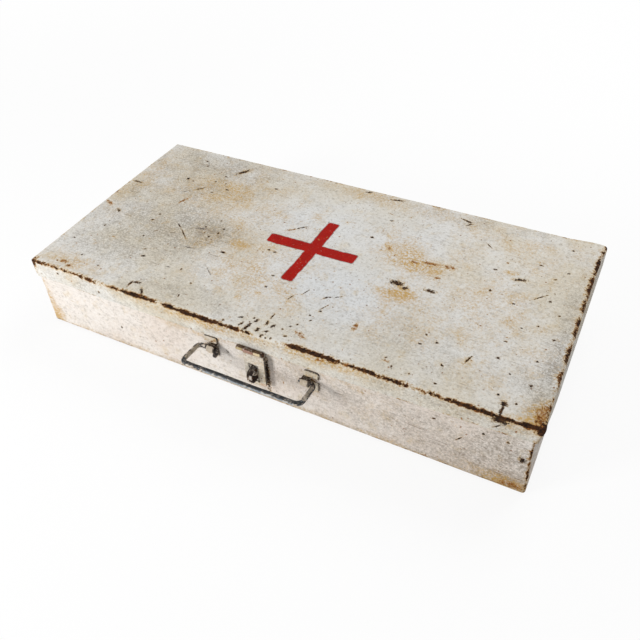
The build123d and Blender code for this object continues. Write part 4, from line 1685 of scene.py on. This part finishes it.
@dataclass
class Studio:
    """The pale floor, the soft lights, and the camera where the photograph was taken."""

    camera_place: Place = (231.9, -425.1, 436.5)
    camera_aim: Place = (23.85, -40.37, 37.5)
    camera_roll: float = -2.232
    lens: float = 39.125
    sensor: float = 36.0
    floor_half: float = 4000.0
    floor_drop: float = 0.3
    floor_shade: Colour = screen(244, 244, 244)
    shadow_reach: tuple[float, float] = (0.35, 1.3)
    shadow_kept: float = 0.12
    world_light: float = 0.47
    lamps: tuple[tuple, ...] = (
        ("key", (-700, -950, 440), 360, 9.6),
        ("fill", (330, 880, 1150), 800, 9.5),
    )

    @staticmethod
    def plain_rays(graph: Graph) -> Socket:
        """1 for the rays that see plain white: the camera's own, and those through or off the box."""
        rays = graph.add("LightPath").outputs
        return graph.largest(rays["Is Camera Ray"], rays["Is Transmission Ray"], rays["Is Glossy Ray"])

    def floor(self) -> None:
        """Lays the floor: pale and matt, seen by the camera mostly as plain white, so a shadow is left."""
        material = bpy.data.materials.new("studio_floor")
        material.use_nodes = True
        tree = material.node_tree
        graph = Graph(tree)
        tree.nodes.remove(tree.nodes["Principled BSDF"])
        matt = graph.add("BsdfDiffuse", {"Color": self.floor_shade}).outputs[0]
        white = graph.add("Emission", {"Color": (1, 1, 1, 1), "Strength": 1.0}).outputs[0]
        away = graph.vector("LENGTH", graph.add("TexCoord").outputs["Object"])
        whiteness = graph.ramp(away, *self.shadow_reach, 1 - self.shadow_kept, 1.0)
        seen = graph.times(self.plain_rays(graph), whiteness)
        shown = graph.add("MixShader", {0: seen, 1: matt, 2: white}).outputs[0]
        graph.put(shown, tree.nodes["Material Output"].inputs["Surface"])
        half, low = self.floor_half, -self.floor_drop
        corners = np.array([(-half, -half, low), (half, -half, low), (half, half, low), (-half, half, low)])
        make_piece("studio_floor", corners, np.array([[0, 1, 2, 3]]), material, smooth=False)

    def world(self) -> None:
        """A white background for the camera and for reflections, over an even light from all round."""
        world = bpy.data.worlds.new("studio")
        bpy.context.scene.world = world
        world.use_nodes = True
        graph = Graph(world.node_tree)
        background = world.node_tree.nodes["Background"]
        graph.put((1, 1, 1, 1), background.inputs["Color"])
        strength = graph.ramp(self.plain_rays(graph), 0.0, 1.0, self.world_light, 1.0)
        graph.put(strength, background.inputs["Strength"])

    @staticmethod
    def point(data: bpy.types.ID, place: Place, aim: Place = (0, 0, 0), roll: float = 0.0) -> Piece:
        """Hangs a light or a camera.

        Args:
            data: the light or the camera.
            place: where it hangs, in millimetres.
            aim: where it points.
            roll: its turn about its own line of sight, in degrees.

        Returns:
            The new object.
        """
        hung = bpy.data.objects.new(data.name, data)
        hung.location = Vector(place) * MM
        hung.rotation_mode = "QUATERNION"
        look = (Vector(aim) * MM - hung.location).to_track_quat("-Z", "Y")
        hung.rotation_quaternion = look @ Quaternion((0, 0, 1), radians(roll))
        bpy.context.scene.collection.objects.link(hung)
        return hung

    def build(self) -> None:
        """Sets up the whole studio."""
        self.floor()
        self.world()
        for name, place, side, watts in self.lamps:
            lamp = bpy.data.lights.new(name, "AREA")
            lamp.energy, lamp.size = watts, side * MM
            self.point(lamp, place)
        camera = bpy.data.cameras.new("camera")
        camera.lens, camera.sensor_width = self.lens, self.sensor
        bpy.context.scene.camera = self.point(camera, self.camera_place, self.camera_aim, self.camera_roll)
        bpy.context.scene.view_settings.view_transform = "Standard"


DARK, UNDER_RIM_SHADE, FOLD_SHADE_AND_GRIME = screen(38, 29, 25), screen(70, 46, 30), screen(46, 31, 22)
SMALL = {"channels": False, "flake_size": 4.0, "flake_amount": 0.45, "stain": 0.4, "dirt": 0.35}
LID_PAINT = WornPaint("lid_paint", marked=True, cross=CROSS)
TRAY_PAINT = WornPaint(
    "tray_paint",
    paint=screen(226, 219, 212),
    warm=screen(219, 208, 198),
    flake_amount=0.24,
    speckle_amount=0.12,
    marked=True,
)
KNUCKLE_PAINT = WornPaint("knuckle_paint", paint=screen(214, 200, 176), **SMALL, dabs=(
    # The dark brown band along the knuckles' tops is painted shade in the gap under the lid's rim.
    Dab((-13, -118, 57.7), (14, -110.9, 60), UNDER_RIM_SHADE, 0.95),
    Dab((-12, -118, 50), (-5.8, -110.9, 57.6), screen(168, 146, 92), 0.7),
    Dab((4, -118, 50), (10.5, -110.9, 57.6), screen(220, 200, 160), 0.7),
    Dab((10.5, -118, 50), (13, -110.9, 58), DARK, 0.8),
))
HINGE_PAINT = WornPaint("hinge_paint", paint=screen(212, 204, 190), **SMALL)
RIVET_PAINT = WornPaint("rivet_paint", paint=screen(206, 196, 178), **{**SMALL, "flake_amount": 0.6})
HASP_PAINT = WornPaint("hasp_paint", paint=screen(222, 214, 204), **{**SMALL, "flake_amount": 0.36}, dabs=(
    Dab((-6, -117, 54), (5, -110.5, 57.8), screen(140, 92, 76), 0.8),
    # The dark brown band over the hasp's knuckle is painted shade under the lid's rim.
    Dab((-6, -117, 57.7), (5, -110.5, 60), UNDER_RIM_SHADE, 0.95),
    # Painted shade: a dark strip down the plate's right edge, and the slot darkened inside and along its top.
    Dab((12.9, -116, 20), (14, -113, 54), DARK, 0.9),
    Dab((-2, -114.6, 24), (7, -113, 43), DARK, 0.9),
    Dab((-1.2, -116, 39.5), (6.2, -113, 43.2), DARK, 0.85),
    Dab((8, -116, 20), (13.5, -113, 24.5), screen(206, 168, 148), 0.4),
))
PIN_STEEL = RustySteel("pin_rust", metal=screen(50, 44, 40), rust_share=0.9, paint_left=0.0, metallic=0.3)
STAPLE_STEEL = RustySteel(
    "staple_rust", metal=screen(60, 52, 46), rust_share=0.85, paint_left=0.06, metallic=0.3, dabs=(
        # Painted shade inside the staple's loop and low in the slot, then a painted highlight on the staple's
        # front.
        Dab((-1, -123, 36.8), (6, -108, 41), DARK, 0.9),
        Dab((3.3, -123, 26), (5, -115, 32.5), DARK, 0.9),
        Dab((2.6, -123, 33), (4.6, -121.4, 37), screen(222, 212, 200), 0.85),
    )
)
WIRE_STEEL = RustySteel(
    "bail_wire", metal=screen(84, 88, 92), paint=screen(196, 190, 180), rust_share=0.12, paint_left=0.1,
    roughness=0.4, metallic=0.55, dabs=(
        # Painted shade on the wire where it runs through the two ears, the left one's tail included.
        Dab((-42, -122, 38), (-29, -110, 50), DARK, 0.85),
        Dab((52, -118, 41), (60, -111.5, 47), DARK, 0.8),
        # Painted highlights down the lit side of each leg.
        Dab((-48.6, -134, 40), (-46, -116, 50), screen(172, 160, 142), 0.85),
        Dab((56.3, -134, 40), (58.2, -118, 50), screen(168, 158, 144), 0.8),
        # A painted shade along the grip's top, and a painted bluish reflection of the pale floor along its
        # underside.
        Dab((-60, -141, 47.3), (70, -136, 50), screen(36, 38, 40), 0.9),
        Dab((-28, -141, 42), (52, -136, 46.7), screen(168, 176, 182), 0.7),
    )
)


def ear_paint(number: int, left: float, loop: float) -> WornPaint:
    """The finish of one ear, much of it painted shade: dark crevice lines along its plate's top and right
    edges, a grey-beige soft shade in front of its loop, shade and grime in its fold, a dark open end.

    Args:
        number: counts the ears.
        left: the x of the plate's left side.
        loop: the x of the loop's left side.

    Returns:
        The finish.
    """
    return WornPaint(f"ear_paint_{number}", paint=screen(222, 214, 202), **SMALL, dabs=(
        # Painted shade in the crevices along the plate's top and right edges, a soft painted shade on the
        # loop's front, painted shade with grime in the loop's fold, and painted shade in its open end.
        Dab((left - 1, -112, 52.1), (left + 14, -108, 54), DARK, 0.85),
        Dab((left + 12.1, -112, 31), (left + 14, -108, 54), DARK, 0.85),
        Dab((loop - 0.5, -119, 40), (loop + 7.5, -114.8, 49), screen(176, 162, 144), 0.7),
        Dab((loop - 0.5, -114.9, 45.3), (loop + 7.5, -111, 49), FOLD_SHADE_AND_GRIME, 0.97),
        Dab((loop + 6.2, -119, 40), (loop + 8, -111, 49), DARK, 0.8),
    ))


def main() -> None:
    """Builds the box piece by piece, then the studio."""
    logging.basicConfig(level=logging.INFO, format="%(message)s")
    effects = Effects()
    warp = Warp()
    lid = Lid(warp, LID_MARKS + specks())
    lid.build(LID_PAINT.material(effects))
    Tray(warp, TRAY_MARKS).build(TRAY_PAINT.material(effects))
    lid.build_knuckles(KNUCKLE_PAINT.material(effects))
    Bail().build(WIRE_STEEL.material(effects))
    finishes = {
        "hasp_plate": HASP_PAINT,
        "hasp_pin": PIN_STEEL,
        "staple": STAPLE_STEEL,
        "bail_ear_left": ear_paint(0, -46.05, -40.05),
        "bail_ear_right": ear_paint(1, 45.45, 45.45),
    }
    kinds = {
        "lid_leaf": HINGE_PAINT, "tray_leaf": HINGE_PAINT, "pin": PIN_STEEL,
        "lid_rivets": RIVET_PAINT, "tray_rivets": RIVET_PAINT,
    }
    for side in ("left", "right"):
        for kind, finish in kinds.items():
            finishes[f"hinge_{side}_{kind}"] = finish
    Hardware(finishes).dress(effects)
    Studio().build()


if __name__ == "__main__":
    main()
